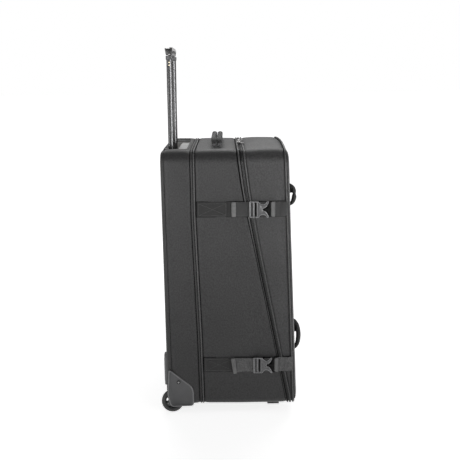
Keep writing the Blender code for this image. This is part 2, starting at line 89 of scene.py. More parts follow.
# Profile lines as x at a height z
BACK_TOP_X = cad("rear_pan")[0][0]
BACK_BOTTOM_X, BACK_INNER_X = BACK_TOP_X + 5.5, -179.0
FRONT_BOTTOM_X, FRONT_TOP_X = 164.4, 142.5
FRONT_LEAN = (FRONT_BOTTOM_X - FRONT_TOP_X) / (TOP_Z - BOTTOM_Z)
SEAM_Z, SEAM_X = (BOTTOM_Z, 208.0, 535.0, TOP_Z), (-88.0, -91.5, -103.0, -104.0)
SPLIT_Z, SPLIT_X = (BOTTOM_Z, 600.0, TOP_Z), (150.0, 36.3, 21.0)
ZIP_Z = (200.0, 450.0, 640.0)                    # where the zip's margins are given


def seam_x(z):
    return np.interp(z, SEAM_Z, SEAM_X)


def split_x(z):
    """The zip's line. Its bend near the top is eased over 60 mm."""
    z = np.asarray(z, float)
    spread = (-30.0, -15.0, 0.0, 15.0, 30.0)
    return sum(np.interp(z + step, SPLIT_Z, SPLIT_X) for step in spread) / len(spread)


def front_x(z):
    return np.interp(z, (BOTTOM_Z, TOP_Z), (FRONT_BOTTOM_X, FRONT_TOP_X))


def back_x(z):
    return np.interp(z, (BOTTOM_Z, TOP_Z), (BACK_BOTTOM_X, BACK_TOP_X))


def rear_margin(z):
    """Width of the padded strip at the rear, seen from the side."""
    return np.interp(z, (150.0, 700.0), (12.0, 7.5))


def body_margin(z):
    """How far the zip's rebate reaches into the body, wider above."""
    return np.interp(z, ZIP_Z, (9.7, 9.9, 12.4))


def lid_margin(z):
    return np.interp(z, ZIP_Z, (6.4, 7.6, 12.4))


def shifted(line, shift):
    return lambda z: line(z) + shift


# ---------------------------------------------------------------- camera, light, floor

def make_camera():
    """The photo's camera, fitted to the case's corners."""
    place, focal_pixels, image_pixels = (-19.0, -2448.0, 907.0), 850.0, 460.0
    pitch, roll, yaw = (math.radians(a) for a in (10.3, -0.63, -0.29))
    turn = Matrix.Rotation(yaw, 3, "Z") @ Matrix.Rotation(-pitch, 3, "X")
    right, forward, up = turn.col[0], turn.col[1], turn.col[2]
    level = math.cos(roll) * right + math.sin(roll) * up
    upright = -math.sin(roll) * right + math.cos(roll) * up
    camera = bpy.data.objects.new("camera", bpy.data.cameras.new("camera"))
    facing = Matrix((level, upright, -forward)).transposed().to_4x4()
    camera.matrix_world = Matrix.Translation(Vector(place) * MM) @ facing
    camera.data.sensor_width = 36.0
    camera.data.lens = 36.0 * focal_pixels / image_pixels
    camera.data.clip_end = 60.0
    bpy.context.scene.collection.objects.link(camera)
    bpy.context.scene.camera = camera


def make_light(name, position, target, size, power, spread=180.0):
    data = bpy.data.lights.new(name, "AREA")
    data.spread = math.radians(spread)
    data.shape = "RECTANGLE"
    data.size, data.size_y = size
    data.energy = power
    lamp = bpy.data.objects.new(name, data)
    aim = (Vector(target) - Vector(position)).to_track_quat("-Z", "Y")
    lamp.matrix_world = Matrix.Translation(position) @ aim.to_matrix().to_4x4()
    bpy.context.scene.collection.objects.link(lamp)


def make_world():
    """White backdrop; its light is soft from the horizon all round and dim overhead."""
    world = bpy.data.worlds.new("studio")
    bpy.context.scene.world = world
    world.use_nodes = True
    nodes, link = world.node_tree.nodes, world.node_tree.links.new
    background, output = nodes["Background"], nodes["World Output"]
    kinds = ("TexCoord", "SeparateXYZ", "ValToRGB", "LightPath", "MixShader", "Background")
    place, split, ramp, ray, mix, white = (nodes.new("ShaderNode" + kind) for kind in kinds)
    levels = ((0.0, 0.265), (0.08, 0.315), (0.22, 0.22), (0.42, 0.09), (0.7, 0.1), (1.0, 0.18))
    for position, level in levels[1:-1]:
        ramp.color_ramp.elements.new(position)
    for element, (position, level) in zip(ramp.color_ramp.elements, levels):
        element.position, element.color = position, (level, level, level, 1.0)
    white.inputs["Color"].default_value = (1.0, 1.0, 1.0, 1.0)
    link(place.outputs["Generated"], split.inputs["Vector"])
    link(split.outputs["Z"], ramp.inputs["Fac"])
    link(ramp.outputs["Color"], background.inputs["Color"])
    link(ray.outputs["Is Camera Ray"], mix.inputs["Fac"])
    link(background.outputs["Background"], mix.inputs[1])
    link(white.outputs["Background"], mix.inputs[2])
    link(mix.outputs["Shader"], output.inputs["Surface"])


def make_floor():
    """Pale floor that glows a little, more so away from the case, so that it reads as a sweep; the weaker glow
    near the case is painted shade.
    """
    white = plain_material("floor_white", (0.93, 0.93, 0.93), 0.7)
    nodes = Nodes(white)
    distance = nodes.new("VectorMath", {0: nodes.place}, operation="LENGTH").outputs["Value"]
    glow = nodes.new("MapRange", {"From Min": 0.5, "From Max": 2.2, "To Min": 0.76, "To Max": 1.0,
                                  "Value": distance})
    nodes.feed(nodes.shader.inputs["Emission Strength"], glow.outputs["Result"])
    nodes.shader.inputs["Emission Color"].default_value = (1.0, 1.0, 1.0, 1.0)
    reach = 40.0
    mesh = bpy.data.meshes.new("floor")
    mesh.from_pydata(level(rectangle(-reach, reach, -reach, reach), 0.0), [], [(0, 1, 2, 3)])
    floor = bpy.data.objects.new("floor", mesh)
    floor.location.z = -0.0004
    bpy.context.scene.collection.objects.link(floor)
    floor.data.materials.append(white)


def make_studio():
    bpy.context.scene.view_settings.view_transform = "Standard"
    make_world()
    make_floor()
    make_light("behind", (0.2, 1.9, 2.1), (0.0, 0.0, 0.6), (2.6, 1.2), 24.0)
    make_light("front_left", (-1.3, -2.3, 0.8), (0.0, -0.25, 0.88), (1.2, 0.7), 3.2, 48.0)
    make_light("front_right", (1.4, -2.2, 0.75), (0.1, -0.25, 0.88), (1.1, 0.7), 2.7, 48.0)
    make_light("right", (2.2, -0.9, 1.0), (0.0, -0.1, 0.6), (1.3, 1.3), 7.5)
    make_light("left", (-2.3, -0.5, 1.0), (0.0, -0.1, 0.6), (0.8, 1.2), 1.9)


# ---------------------------------------------------------------- materials

def plain_material(name, colour, roughness, metallic=0.0, specular=0.5):
    material = bpy.data.materials.new(name)
    material.use_nodes = True
    inputs = material.node_tree.nodes["Principled BSDF"].inputs
    inputs["Base Color"].default_value = (*colour, 1.0)
    inputs["Roughness"].default_value = roughness
    inputs["Metallic"].default_value = metallic
    inputs["Specular IOR Level"].default_value = specular
    return material


class Nodes:
    """Short names for building a material's nodes."""

    def __init__(self, material):
        self.tree = material.node_tree
        self.shader = self.tree.nodes["Principled BSDF"]
        self.place = self.new("TexCoord").outputs["Object"]

    def feed(self, socket, value):
        """Links a socket to an output, or sets it to a plain value."""
        if isinstance(value, bpy.types.NodeSocket):
            self.tree.links.new(value, socket)
        else:
            socket.default_value = value

    def new(self, kind, inputs=(), **settings):
        node = self.tree.nodes.new("ShaderNode" + kind)
        for key, value in settings.items():
            setattr(node, key, value)
        for key, value in dict(inputs).items():
            self.feed(node.inputs[key], value)
        return node

    def noise(self, scale, detail=2.0, stretch=(1.0, 1.0, 1.0)):
        mapping = self.new("Mapping", {"Scale": stretch, "Vector": self.place})
        texture = self.new("TexNoise", {"Scale": scale, "Detail": detail,
                                        "Vector": mapping.outputs["Vector"]})
        return texture.outputs["Fac"]

    def wave(self, pitch, direction):
        """Ribs of the given pitch in metres across X, Y or Z."""
        scale = 2 * math.pi / 20.0 / pitch
        texture = self.new("TexWave", {"Scale": scale, "Vector": self.place}, wave_type="BANDS",
                           bands_direction=direction)
        return texture.outputs["Fac"]

    def mix(self, *terms):
        """Sum of (value, weight) terms."""
        total = None
        for value, weight in terms:
            if weight != 1.0:
                value = self.new("Math", {0: value, 1: weight}, operation="MULTIPLY").outputs["Value"]
            if total is not None:
                value = self.new("Math", {0: total, 1: value}, operation="ADD").outputs["Value"]
            total = value
        return total

    def colour(self, value, base, spread):
        """Varies the base colour by spread, darker below a value of 0.3 and lighter above 0.7."""
        ramp = self.new("ValToRGB", {"Fac": value})
        for element, position, sign in zip(ramp.color_ramp.elements, (0.3, 0.7), (-1, 1)):
            element.position = position
            element.color = (*(c * (1 + sign * spread) for c in base), 1.0)
        self.feed(self.shader.inputs["Base Color"], ramp.outputs["Color"])

    def rough(self, value, low, high):
        node = self.new("MapRange", {"To Min": low, "To Max": high, "Value": value})
        self.feed(self.shader.inputs["Roughness"], node.outputs["Result"])

    def bump(self, height, distance):
        node = self.new("Bump", {"Distance": distance, "Strength": 1.0, "Height": height})
        self.feed(self.shader.inputs["Normal"], node.outputs["Normal"])


def cloth_material(name, colour, pitch=0.0011, sheen=0.1, roughness=0.52, spread=0.22, depth=0.00012,
                   specular=0.5):
    """Plain weave: ribs along all three axes, so that each face of the case shows two of them."""
    material = plain_material(name, colour, roughness, specular=specular)
    nodes = Nodes(material)
    nodes.shader.inputs["Sheen Weight"].default_value = sheen
    nodes.shader.inputs["Sheen Roughness"].default_value = 0.55
    weave = nodes.mix(*((nodes.wave(pitch, axis), 1.0) for axis in "XYZ"))
    slub, fleck = nodes.noise(420.0, 3.0), nodes.noise(330.0, 2.0, (1.0, 1.0, 0.7))
    nodes.colour(nodes.mix((fleck, 0.8), (nodes.noise(9.0), 0.2)), colour, spread * 3.4)
    nodes.rough(fleck, roughness - 0.16, roughness + 0.16)
    nodes.bump(nodes.mix((weave, 0.45), (slub, 1.0), (fleck, 3.2)), depth)
    return material


def webbing_material(name, colour, roughness=0.55, across="Z", sheen=0.15, specular=0.45):
    """Ribbed webbing: fine ribs along the strap's width and a coarser twill over them."""
    material = plain_material(name, colour, roughness, specular=specular)
    nodes = Nodes(material)
    nodes.shader.inputs["Sheen Weight"].default_value = sheen
    ribs, threads = nodes.wave(0.0024, "X" if across == "Z" else "Y"), nodes.wave(0.0016, across)
    nodes.colour(nodes.mix((ribs, 0.4), (nodes.noise(120.0), 0.6)), colour, 0.28)
    nodes.rough(nodes.noise(80.0), roughness - 0.12, roughness + 0.1)
    nodes.bump(nodes.mix((ribs, 1.0), (threads, 0.8), (nodes.noise(500.0), 1.0)), 0.0004)
    return material


def moulded_material(name, colour, roughness, grain=900.0, depth=0.00012, specular=0.5):
    material = plain_material(name, colour, roughness, specular=specular)
    nodes = Nodes(material)
    grains, wear = nodes.noise(grain, 3.0), nodes.noise(35.0, 4.0)
    nodes.colour(nodes.mix((grains, 0.4), (wear, 0.6)), colour, 0.12)
    nodes.rough(wear, roughness - 0.07, roughness + 0.09)
    nodes.bump(grains, depth)
    return material


def brushed_material(name, colour, roughness, direction=(1.0, 1.0, 0.02), metallic=1.0):
    """Metal with fine drawing lines along the direction that is least stretched."""
    material = plain_material(name, colour, roughness, metallic)
    nodes = Nodes(material)
    lines = nodes.noise(1500.0, 2.0, direction)
    nodes.colour(nodes.mix((lines, 0.5), (nodes.noise(25.0), 0.5)), colour, 0.1)
    nodes.rough(lines, roughness - 0.06, roughness + 0.08)
    nodes.bump(lines, 0.00004)
    return material


def make_materials():
    cloth, webbing, moulded, brushed = cloth_material, webbing_material, moulded_material, brushed_material
    polished = (700.0, 0.00005)                  # grain and depth of the buckles' smooth plastic
    even = (1.0, 1.0, 1.0)                       # metal without drawing lines
    return {
        "shell": cloth("shell_fabric", (0.0145, 0.0142, 0.0146), specular=0.38),
        "panel": cloth("panel_fabric", (0.019, 0.0187, 0.0191), specular=0.42),
        "lining": cloth("lining_fabric", (0.11, 0.11, 0.115), 0.0009, 0.1, 0.75, 0.12, 0.0001, 0.3),
        # much lighter copy of the lining: painted light on the recess rim's shaded inner wall
        "rim_lining": cloth("rim_lining", (0.42, 0.42, 0.42), 0.0009, 0.1, 0.75, 0.05, 0.0001, 0.3),
        "piping": cloth("piping_cover", (0.034, 0.0335, 0.034), 0.0009, 0.15, 0.45, 0.2, 0.0001),
        # near-black webbing that paints shadow: seam grooves, strap outlines, the zip's gap and the front
        # loops' insides are painted shade
        "groove": webbing("painted_shadow_tape", (0.003, 0.003, 0.003), 0.8, sheen=0.0, specular=0.15),
        "webbing": webbing("strap_webbing", (0.011, 0.0108, 0.0108), specular=0.38),
        # lighter copies of the strap webbing: painted sheen, the second much brighter for the lower straps
        "webbing_gloss": webbing("strap_webbing_painted_sheen", (0.018, 0.0178, 0.018), 0.34, sheen=0.05),
        "webbing_shiny": webbing("strap_webbing_shiny_painted_sheen", (0.055, 0.0545, 0.055), 0.28, sheen=0.05),
        "handle": webbing("handle_webbing", (0.014, 0.0138, 0.014), 0.55, "Y", 0.06),
        # much lighter webbing for the hems: painted highlight along the folds
        "worn": webbing("webbing_hem", (0.105, 0.105, 0.105), 0.4, sheen=0.05),
        "tape": webbing("zip_tape", (0.018, 0.018, 0.0184), 0.55),
        "thread": plain_material("stitch_thread", (0.07, 0.07, 0.069), 0.5),
        "teeth": moulded("zip_teeth", (0.014, 0.014, 0.014), 0.35),
        "buckle": moulded("buckle_plastic", (0.05, 0.05, 0.052), 0.25, *polished, specular=0.6),
        # much lighter copy of the buckle plastic: painted highlight on the buckles' outer bevels
        "buckle_edge": moulded("buckle_edge", (0.21, 0.21, 0.215), 0.22, *polished, specular=0.6),
        # near-black copy of the buckle plastic: painted shade for parts seen deep in the slots and notch
        "buckle_dark": moulded("buckle_shade_plastic", (0.003, 0.003, 0.003), 0.7, *polished, specular=0.15),
        "guard": moulded("guard_plastic", (0.052, 0.052, 0.054), 0.36),
        # lighter copy of the guard plastic: painted highlight on guard rims, painted light on the rear skids
        "guard_edge": moulded("guard_edge", (0.13, 0.13, 0.133), 0.33),
        "recess": moulded("recess_plastic", (0.93, 0.92, 0.91), 0.5),
        "dark": moulded("dark_plastic", (0.008, 0.008, 0.0083), 0.38),
        "grip_light": moulded("grip_insert", (0.42, 0.41, 0.41), 0.4),
        "tyre": moulded("tyre_rubber", (0.04, 0.04, 0.04), 0.55, 1200.0, 0.0002),
        "hub": moulded("hub_plastic", (0.012, 0.012, 0.0123), 0.45),
        "rubber": moulded("foot_rubber", (0.03, 0.03, 0.03), 0.75, 1000.0, 0.0003),
        "zip_metal": brushed("zip_metal", (0.85, 0.84, 0.83), 0.22, (1.0, 0.1, 1.0), 0.4),
        "tube": brushed("tube_paint", (0.01, 0.0098, 0.01), 0.3, metallic=0.0),
        "aluminium": brushed("tube_aluminium", (0.3, 0.3, 0.31), 0.4, metallic=0.6),
        "brass": brushed("rivet_brass", (0.62, 0.55, 0.4), 0.4, even),
        "steel": brushed("screw_steel", (0.45, 0.45, 0.45), 0.35, even),
    }


LOOKS = make_materials()


# ---------------------------------------------------------------- mesh helpers

def piece(name, verts, faces, materials, body, angle=35.0, marks=None, node=None):
    """A closed mesh from points in millimetres that rides on a body and may replace a CAD node.

    Materials are names in LOOKS, and marks gives their index for each face.
    """
    mesh = bpy.data.meshes.new(name)
    mesh.from_pydata([tuple(v) for v in np.asarray(verts, float) * MM], [], [tuple(f) for f in faces])
    for material in materials if isinstance(materials, (list, tuple)) else [materials]:
        mesh.materials.append(LOOKS[material] if isinstance(material, str) else material)
    if marks is not None:
        mesh.polygons.foreach_set("material_index", marks)
    data = bmesh.new()
    data.from_mesh(mesh)
    bmesh.ops.recalc_face_normals(data, faces=data.faces)
    bmesh.ops.triangulate(data, faces=[face for face in data.faces if len(face.verts) > 4])
    data.to_mesh(mesh)
    data.free()
    mesh.shade_smooth()
    mesh.set_sharp_from_angle(angle=math.radians(angle))
    obj = bpy.data.objects.new(name, mesh)
    bpy.context.scene.collection.objects.link(obj)
    if body:
        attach(obj, body)
    if node:
        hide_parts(node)
    return obj


class Solids:
    """Collects closed solids that make one piece, with a material index for each face."""

    def __init__(self):
        self.verts, self.faces, self.marks = [], [], []

    def rings(self, rings, closed=False, marks=None):
        """Skins successive rings of points; a closed stack joins its last ring to its first.

        marks gives a material index for each band between two rings.
        """
        start = len(self.verts)
        count = len(rings[0])
        for ring in rings:
            self.verts.extend(tuple(point) for point in ring)
        stack = len(rings)
        for k in range(stack if closed else stack - 1):
            low, high = start + k * count, start + (k + 1) % stack * count
            for i in range(count):
                j = (i + 1) % count
                self.faces.append((low + i, low + j, high + j, high + i))
                self.marks.append(marks[k] if marks else 0)
        if not closed:
            self.faces.append(tuple(range(start + count - 1, start - 1, -1)))
            last = start + (stack - 1) * count
            self.faces.append(tuple(range(last, last + count)))
            self.marks += [0, 0]
        return self

    def make(self, name, material, body, slot, angle=35.0, node=None):
        marks = self.marks if any(self.marks) else None
        return piece(name, self.verts, self.faces, material, body, angle, marks, node)


def arc(centre, radius, start, end, steps):
    angles = np.radians(np.linspace(start, end, steps + 1))
    return [(centre[0] + radius * math.cos(a), centre[1] + radius * math.sin(a)) for a in angles]


def circle(centre, radius, count):
    return arc(centre, radius, 0, 360 - 360 / count, count - 1)


def rectangle(a_low, a_high, b_low, b_high):
    return [(a_low, b_low), (a_high, b_low), (a_high, b_high), (a_low, b_high)]


def level(outline, z):
    """A flat outline as a ring at height z."""
    return [(x, y, z) for x, y in outline]


def rounded_polygon(corners, radius, steps=4):
    """Corners of a convex or concave outline, each replaced by a short curve."""
    points = np.array(corners, float)
    result = []
    for i, corner in enumerate(points):
        before, after = points[i - 1] - corner, points[(i + 1) % len(points)] - corner
        reach = min(radius, np.linalg.norm(before) / 2.1, np.linalg.norm(after) / 2.1)
        start = corner + before / np.linalg.norm(before) * reach
        end = corner + after / np.linalg.norm(after) * reach
        for t in np.linspace(0, 1, steps + 1):
            result.append(tuple((1 - t) ** 2 * start + 2 * t * (1 - t) * corner + t ** 2 * end))
    return result


def rounded_rect(centre, size, radius, steps=6):
    points = []
    for sign_x, sign_y, start in ((1, -1, -90), (1, 1, 0), (-1, 1, 90), (-1, -1, 180)):
        mid = (centre[0] + sign_x * (size[0] / 2 - radius), centre[1] + sign_y * (size[1] / 2 - radius))
        points += arc(mid, radius, start, start + 90, steps)
    return points


def offset(outline, inset):
    """An outline moved inward along its normals."""
    points = np.array(outline)
    after = np.roll(points, -1, axis=0)
    tangent = after - np.roll(points, 1, axis=0)
    tangent /= np.maximum(np.linalg.norm(tangent, axis=1), 1e-9)[:, None]
    inward = np.stack([-tangent[:, 1], tangent[:, 0]], axis=1)
    area = np.sum(points[:, 0] * after[:, 1] - after[:, 0] * points[:, 1])
    return points + inward * (inset if area > 0 else -inset)


def along_axes(a, b, depth):
    return (a, b, depth)


def across_case(a, b, depth):
    return (a, depth, b)


def plate(solids, outline, start, end, place, edge=0.6, worn=False):
    """An outline extruded from start to end with softened edges; place maps (a, b, depth).

    A plate with the flag set has a painted highlight as material 1 on its outer bevel, and painted shade as
    material 2 on its walls.
    """
    direction = 1.0 if end > start else -1.0
    steps = ((edge, 0.0), (edge * 0.3, edge * 0.3), (0.0, edge))
    depths = [(inset, start + direction * rise) for inset, rise in steps]
    depths += [(inset, end - direction * rise) for inset, rise in reversed(steps)]
    rings = [[place(a, b, depth) for a, b in offset(outline, inset)] for inset, depth in depths]
    return solids.rings(rings, marks=(0, 0, 2, 1, 1) if worn else None)


def side_place(side):
    """Maps (x, z, depth) to a point that stands depth proud of the case's side."""
    return lambda x, z, depth: (x, side * (HALF_WIDTH + depth), z)


def travel(points):
    """Distance travelled along a polyline, at each of its points."""
    return np.concatenate([[0], np.cumsum(np.linalg.norm(np.diff(points, axis=0), axis=1))])


def at(where, travelled, points):
    """Points of a polyline at the given distances along it."""
    return [np.interp(where, travelled, column) for column in np.array(points).T]


def stitches(solids, points, pitch=3.4, length=2.3, radius=0.42):
    """Thread stitches along a polyline of 3-D points."""
    travelled = travel(points)
    for middle in np.arange(pitch / 2, travelled[-1] - pitch / 4, pitch):
        start, end = (np.array(at(middle + half, travelled, points)) for half in (-length / 2, length / 2))
        along = end - start
        size = np.linalg.norm(along)
        if size < 1e-6:
            continue
        along /= size
        helper = np.array((0.0, 0.0, 1.0)) if abs(along[2]) < 0.8 else np.array((1.0, 0.0, 0.0))
        first = np.cross(along, helper)
        first /= np.linalg.norm(first)
        second = np.cross(along, first)
        rings = []
        for t, scale in ((-0.5, 0.35), (-0.3, 1.0), (0.3, 1.0), (0.5, 0.35)):
            centre = (start + end) / 2 + along * size * t
            rings.append([centre + radius * scale * (math.cos(a) * first + math.sin(a) * second)
                          for a in np.linspace(0, 2 * math.pi, 6)[:-1]])
        solids.rings(rings)
    return solids


def crossed_box(solids, corners, place, **thread):
    """Stitches round four corners and along both diagonals; place maps (a, b)."""
    route = [corners[k] for k in (0, 1, 2, 3, 0, 2, 1, 3)]
    for ends in zip(route, route[1:]):
        stitches(solids, [place(a, b) for a, b in ends], **thread)


# ---------------------------------------------------------------- case outline

def case_outline(inset=0.0):
    """Points (y, z) and outward normals round the case, from the lower right corner."""
    corner_steps, side_steps, flat_steps = 9, 56, 36
    half, high, low = HALF_WIDTH - inset, TOP_Z - inset, BOTTOM_Z + inset
    r_top, r_low = max(TOP_RADIUS - inset, 2.0), max(BOTTOM_RADIUS - inset, 2.0)
    points, normals = [], []

    def corner(centre, radius, start):
        for angle in np.radians(np.linspace(start, start + 90, corner_steps + 1)):
            normal = (math.cos(angle), math.sin(angle))
            points.append((centre[0] + radius * normal[0], centre[1] + radius * normal[1]))
            normals.append(normal)

    def straight(start, end, normal, steps):
        for t in np.linspace(0, 1, steps + 1)[1:-1]:
            points.append(tuple(np.array(start) * (1 - t) + np.array(end) * t))
            normals.append(normal)

    corner((half - r_low, low + r_low), r_low, -90)
    straight((half, low + r_low), (half, high - r_top), (1, 0), side_steps)
    corner((half - r_top, high - r_top), r_top, 0)
    straight((half - r_top, high), (-half + r_top, high), (0, 1), flat_steps)
    corner((-half + r_top, high - r_top), r_top, 90)
    straight((-half, high - r_top), (-half, low + r_low), (-1, 0), side_steps)
    corner((-half + r_low, low + r_low), r_low, 180)
    straight((-half + r_low, low), (half - r_low, low), (0, -1), flat_steps)
    return np.array(points), np.array(normals)


OUTLINE, NORMALS = case_outline()


def around(x_of_z, shift, proud):
    """Ring of points round the case; proud may be one number or one for each point."""
    points = OUTLINE + NORMALS * np.broadcast_to(proud, len(OUTLINE))[:, None]
    return np.column_stack([x_of_z(OUTLINE[:, 1]) + shift, points])


def inset_ring(inset, x_of_z, shift=0.0):
    points = case_outline(inset)[0]
    return np.column_stack([x_of_z(points[:, 1]) + shift, points])


def trim(name, x_of_z, profile, material, body, slot, angle=50.0, node=None):
    """Sweeps a closed profile of (shift along X, proud) points round the case."""
    rings = [around(x_of_z, shift, proud) for shift, proud in profile]
    return Solids().rings(rings, closed=True).make(name, material, body, slot, angle, node)


def bead(centre, radius, sink=0.0):
    return circle((centre, radius - sink), radius, 10)


def bow_lid(points):
    """Raises the lid's padded top towards the middle of its width, and creases its sides."""
    points = np.array(points, float)
    x, y, z = points.T
    across = np.clip(1 - (y / (HALF_WIDTH - 12.0)) ** 2, 0, 1)
    high = np.clip((z - TOP_Z + 70.0) / 70.0, 0, 1.2) ** 2
    forward = np.clip((x - SPLIT_X[-1] - 6.0) / 50.0, 0, 1)
    points[:, 2] += 8.0 * across * high * forward
    points[:, 0] += 3.0 * across * high * forward * np.clip((x - 90.0) / 50.0, 0, 1)
    beside = np.clip((np.abs(y) - HALF_WIDTH + 14.0) / 8.0, 0, 1)
    crease = np.exp(-((front_x(z) - 19.0 - x) / 8.0) ** 2) * (0.35 + 0.65 * np.sin(z / 74.0) ** 2)
    points[:, 1] -= np.sign(y) * 2.2 * crease * beside
    return points


# ---------------------------------------------------------------- fabric shells

def cloth_swell(points, amplitude, seed):
    """Gentle unevenness of fabric glued over board."""
    swell = [noise.noise(Vector((p[0] * 0.012 + seed, p[1] * 0.009, p[2] * 0.007))) for p in points]
    return np.array(swell) * amplitude


def skin_rings(start, end, count, crown, seed):
    """Outer rings between two lines: rounded over at both edges, crowned between them."""
    rings = []
    for k in range(count):
        t = 0.5 - 0.5 * math.cos(math.pi * k / (count - 1))
        base = around(start, 0.0, 0.0) * (1 - t) + around(end, 0.0, 0.0) * t
        width = np.abs(end(OUTLINE[:, 1]) - start(OUTLINE[:, 1]))
        rounded = 1.5 * np.exp(-min(t, 1 - t) * width / 2.5)
        swell = cloth_swell(base, 1.4, seed) * math.sin(math.pi * t)
        proud = crown * math.sin(math.pi * t) ** 0.6 - rounded + swell
        base[:, 1:] += NORMALS * proud[:, None]
        rings.append(base)
    return rings


def rebate(outer_line, edge_line):
    """Step at a shell's edge, on which its tape and piping lie."""
    return [around(outer_line, 0.0, -3.0), around(edge_line, 0.0, -3.0), around(edge_line, 0.0, -WALL)]


def bake(obj):
    """Keeps a piece's mesh as its modifiers leave it, and removes them."""
    graph = bpy.context.evaluated_depsgraph_get()
    mesh = bpy.data.meshes.new_from_object(obj.evaluated_get(graph))
    obj.modifiers.clear()
    obj.data = mesh


def cut_away(obj, boxes):
    """Takes boxes out of a piece and keeps the result as its mesh."""
    solids = Solids()
    for low, high in boxes:
        section = rectangle(low[1], high[1], low[2], high[2])
        solids.rings([[(x, y, z) for y, z in section] for x in (low[0], high[0])])
    cutter = piece("cutter", solids.verts, solids.faces, obj.data.materials[0], None)
    modifier = obj.modifiers.new("cut", "BOOLEAN")
    modifier.operation, modifier.solver, modifier.object = "DIFFERENCE", "EXACT", cutter
    bake(obj)
    bpy.data.objects.remove(cutter, do_unlink=True)


def soften(obj, width, segments):
    """Bevels the edges of a CAD piece that stays."""
    bevel = obj.modifiers.new("soft_edges", "BEVEL")
    bevel.width, bevel.segments, bevel.limit_method = width, segments, "ANGLE"


def lined_solid(rings, lined):
    """A solid whose first cap and first bands show the lining, as material 1."""
    solids = Solids().rings(rings, marks=[int(k < lined) for k in range(len(rings))])
    solids.marks[-2] = 1
    return solids


def make_rear_pan():
    def side_end(z):
        return back_x(z) + rear_margin(z) + 0.9

    def inner_x(z):
        return np.full_like(np.asarray(z, float), BACK_INNER_X)

    seam, seam_edge = shifted(seam_x, -0.3), shifted(seam_x, -SEAM_HALF)
    inside = [inset_ring(inset, inner_x) for inset in (200, 60, WALL + 3)] + [around(inner_x, 3.0, -WALL)]
    rings = inside + rebate(seam_edge, seam)[::-1] + skin_rings(seam_edge, side_end, 14, 1.5, 3.0)
    rings.append(around(side_end, -0.2, -2.6))
    for angle in np.radians((0.0, 12.0, 30.0, 50.0, 70.0, 90.0)):
        reach = (lambda z, a=angle: back_x(z) - 1.2 + (rear_margin(z) - 0.6) * (1 - math.sin(a)))
        rings.append(inset_ring(0.7 + 10.0 * (1 - math.cos(angle)), reach))
    for inset, bulge in ((18, 1.9), (34, 2.6), (60, 3.0), (110, 3.4), (170, 3.6), (225, 3.6)):
        rings.append(inset_ring(inset, back_x, -bulge))
    pan = lined_solid(rings, len(inside)).make("rear_pan_fabric", ["shell", "lining"], "case",
                                               "shell_fabric", 40.0)
    tray_low, tray_high = cad("handle_recess_tray")
    above = 760.0                                # the boxes end clear of the case on its outer sides
    boxes = [((tray_low[0] - 0.3, tray_low[1] - 0.3, tray_low[2] - 6),
              (tray_high[0] + 0.3, tray_high[1] + 0.3, above))]
    behind, beside = -230.0, 280.0
    for name, side in SIDES:
        low, high = cad("wheel_bracket_" + name)
        y_range = (low[1] - 0.3, beside) if side > 0 else (-beside, high[1] + 0.3)
        boxes.append(((behind, y_range[0], 0.0), (high[0] + 0.3, y_range[1], high[2] + 0.3)))
    cut_away(pan, boxes)
    pan.data.set_sharp_from_angle(angle=math.radians(40))
    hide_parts("rear_pan")


def make_mid_frame():
    def zip_edge(z):
        return split_x(z) - body_margin(z)

    seam, split, seam_edge = shifted(seam_x, 0.3), shifted(split_x, -0.3), shifted(seam_x, SEAM_HALF)
    rings = rebate(seam_edge, seam)[::-1]
    rings += skin_rings(seam_edge, zip_edge, 22, 1.3, 7.0) + rebate(zip_edge, split)
    inside_last = [0] * (len(rings) - 1) + [1]
    band = Solids().rings(rings, closed=True, marks=inside_last)
    band.make("mid_frame_fabric", ["shell", "lining"], "case", "shell_fabric", 40.0, "mid_frame")


def make_lid_shell():
    def side_end(z):
        return np.maximum(front_x(z) - 10.4, split_x(z) + 0.6)

    def inner_front(z):
        return np.maximum(front_x(z) - 11.0, split_x(z) + 1.2)

    def zip_edge(z):
        return np.minimum(split_x(z) + lid_margin(z), side_end(z) - 0.2)

    inside = [inset_ring(200, inner_front), inset_ring(WALL + 4, inner_front),
              around(inner_front, -0.4, -WALL)]
    rings = inside + rebate(zip_edge, shifted(split_x, 0.3))[::-1]
    rings += skin_rings(zip_edge, side_end, 18, 1.1, 11.0)
    rings += [around(front_x, -8.3, -2.8), around(front_x, -6.2, -2.8), inset_ring(9.0, front_x, -6.0),
              inset_ring(200, front_x, -6.0)]
    lid = lined_solid(rings, len(inside))
    lid.verts = bow_lid(lid.verts)
    lid.make("lid_shell_fabric", ["panel", "lining"], "lid", "shell_fabric", 40.0, "lid_shell")


def simulate_pad(obj, voxel, pressure, cap, frames=20):
    """Voxel remesh, then inflate as cloth; no point moves further than cap (metres)."""
    remesh = obj.modifiers.new("voxels", "REMESH")
    remesh.mode, remesh.voxel_size = "VOXEL", voxel
    bake(obj)
    start = np.array([v.co for v in obj.data.vertices])
    cloth = obj.modifiers.new("cloth", "CLOTH")
    cloth.settings.use_pressure = True
    cloth.settings.uniform_pressure_force = pressure
    cloth.settings.effector_weights.gravity = 0.0
    cloth.settings.quality = 5
    cloth.point_cache.frame_start, cloth.point_cache.frame_end = 1, frames
    scene = bpy.context.scene
    for step in range(1, frames + 1):
        scene.frame_set(step)
    bake(obj)
    scene.frame_set(1)
    move = np.array([v.co for v in obj.data.vertices]) - start
    size = np.linalg.norm(move, axis=1)
    scale = np.minimum(1.0, cap / np.maximum(size, 1e-9))
    obj.data.vertices.foreach_set("co", (start + move * scale[:, None]).ravel())


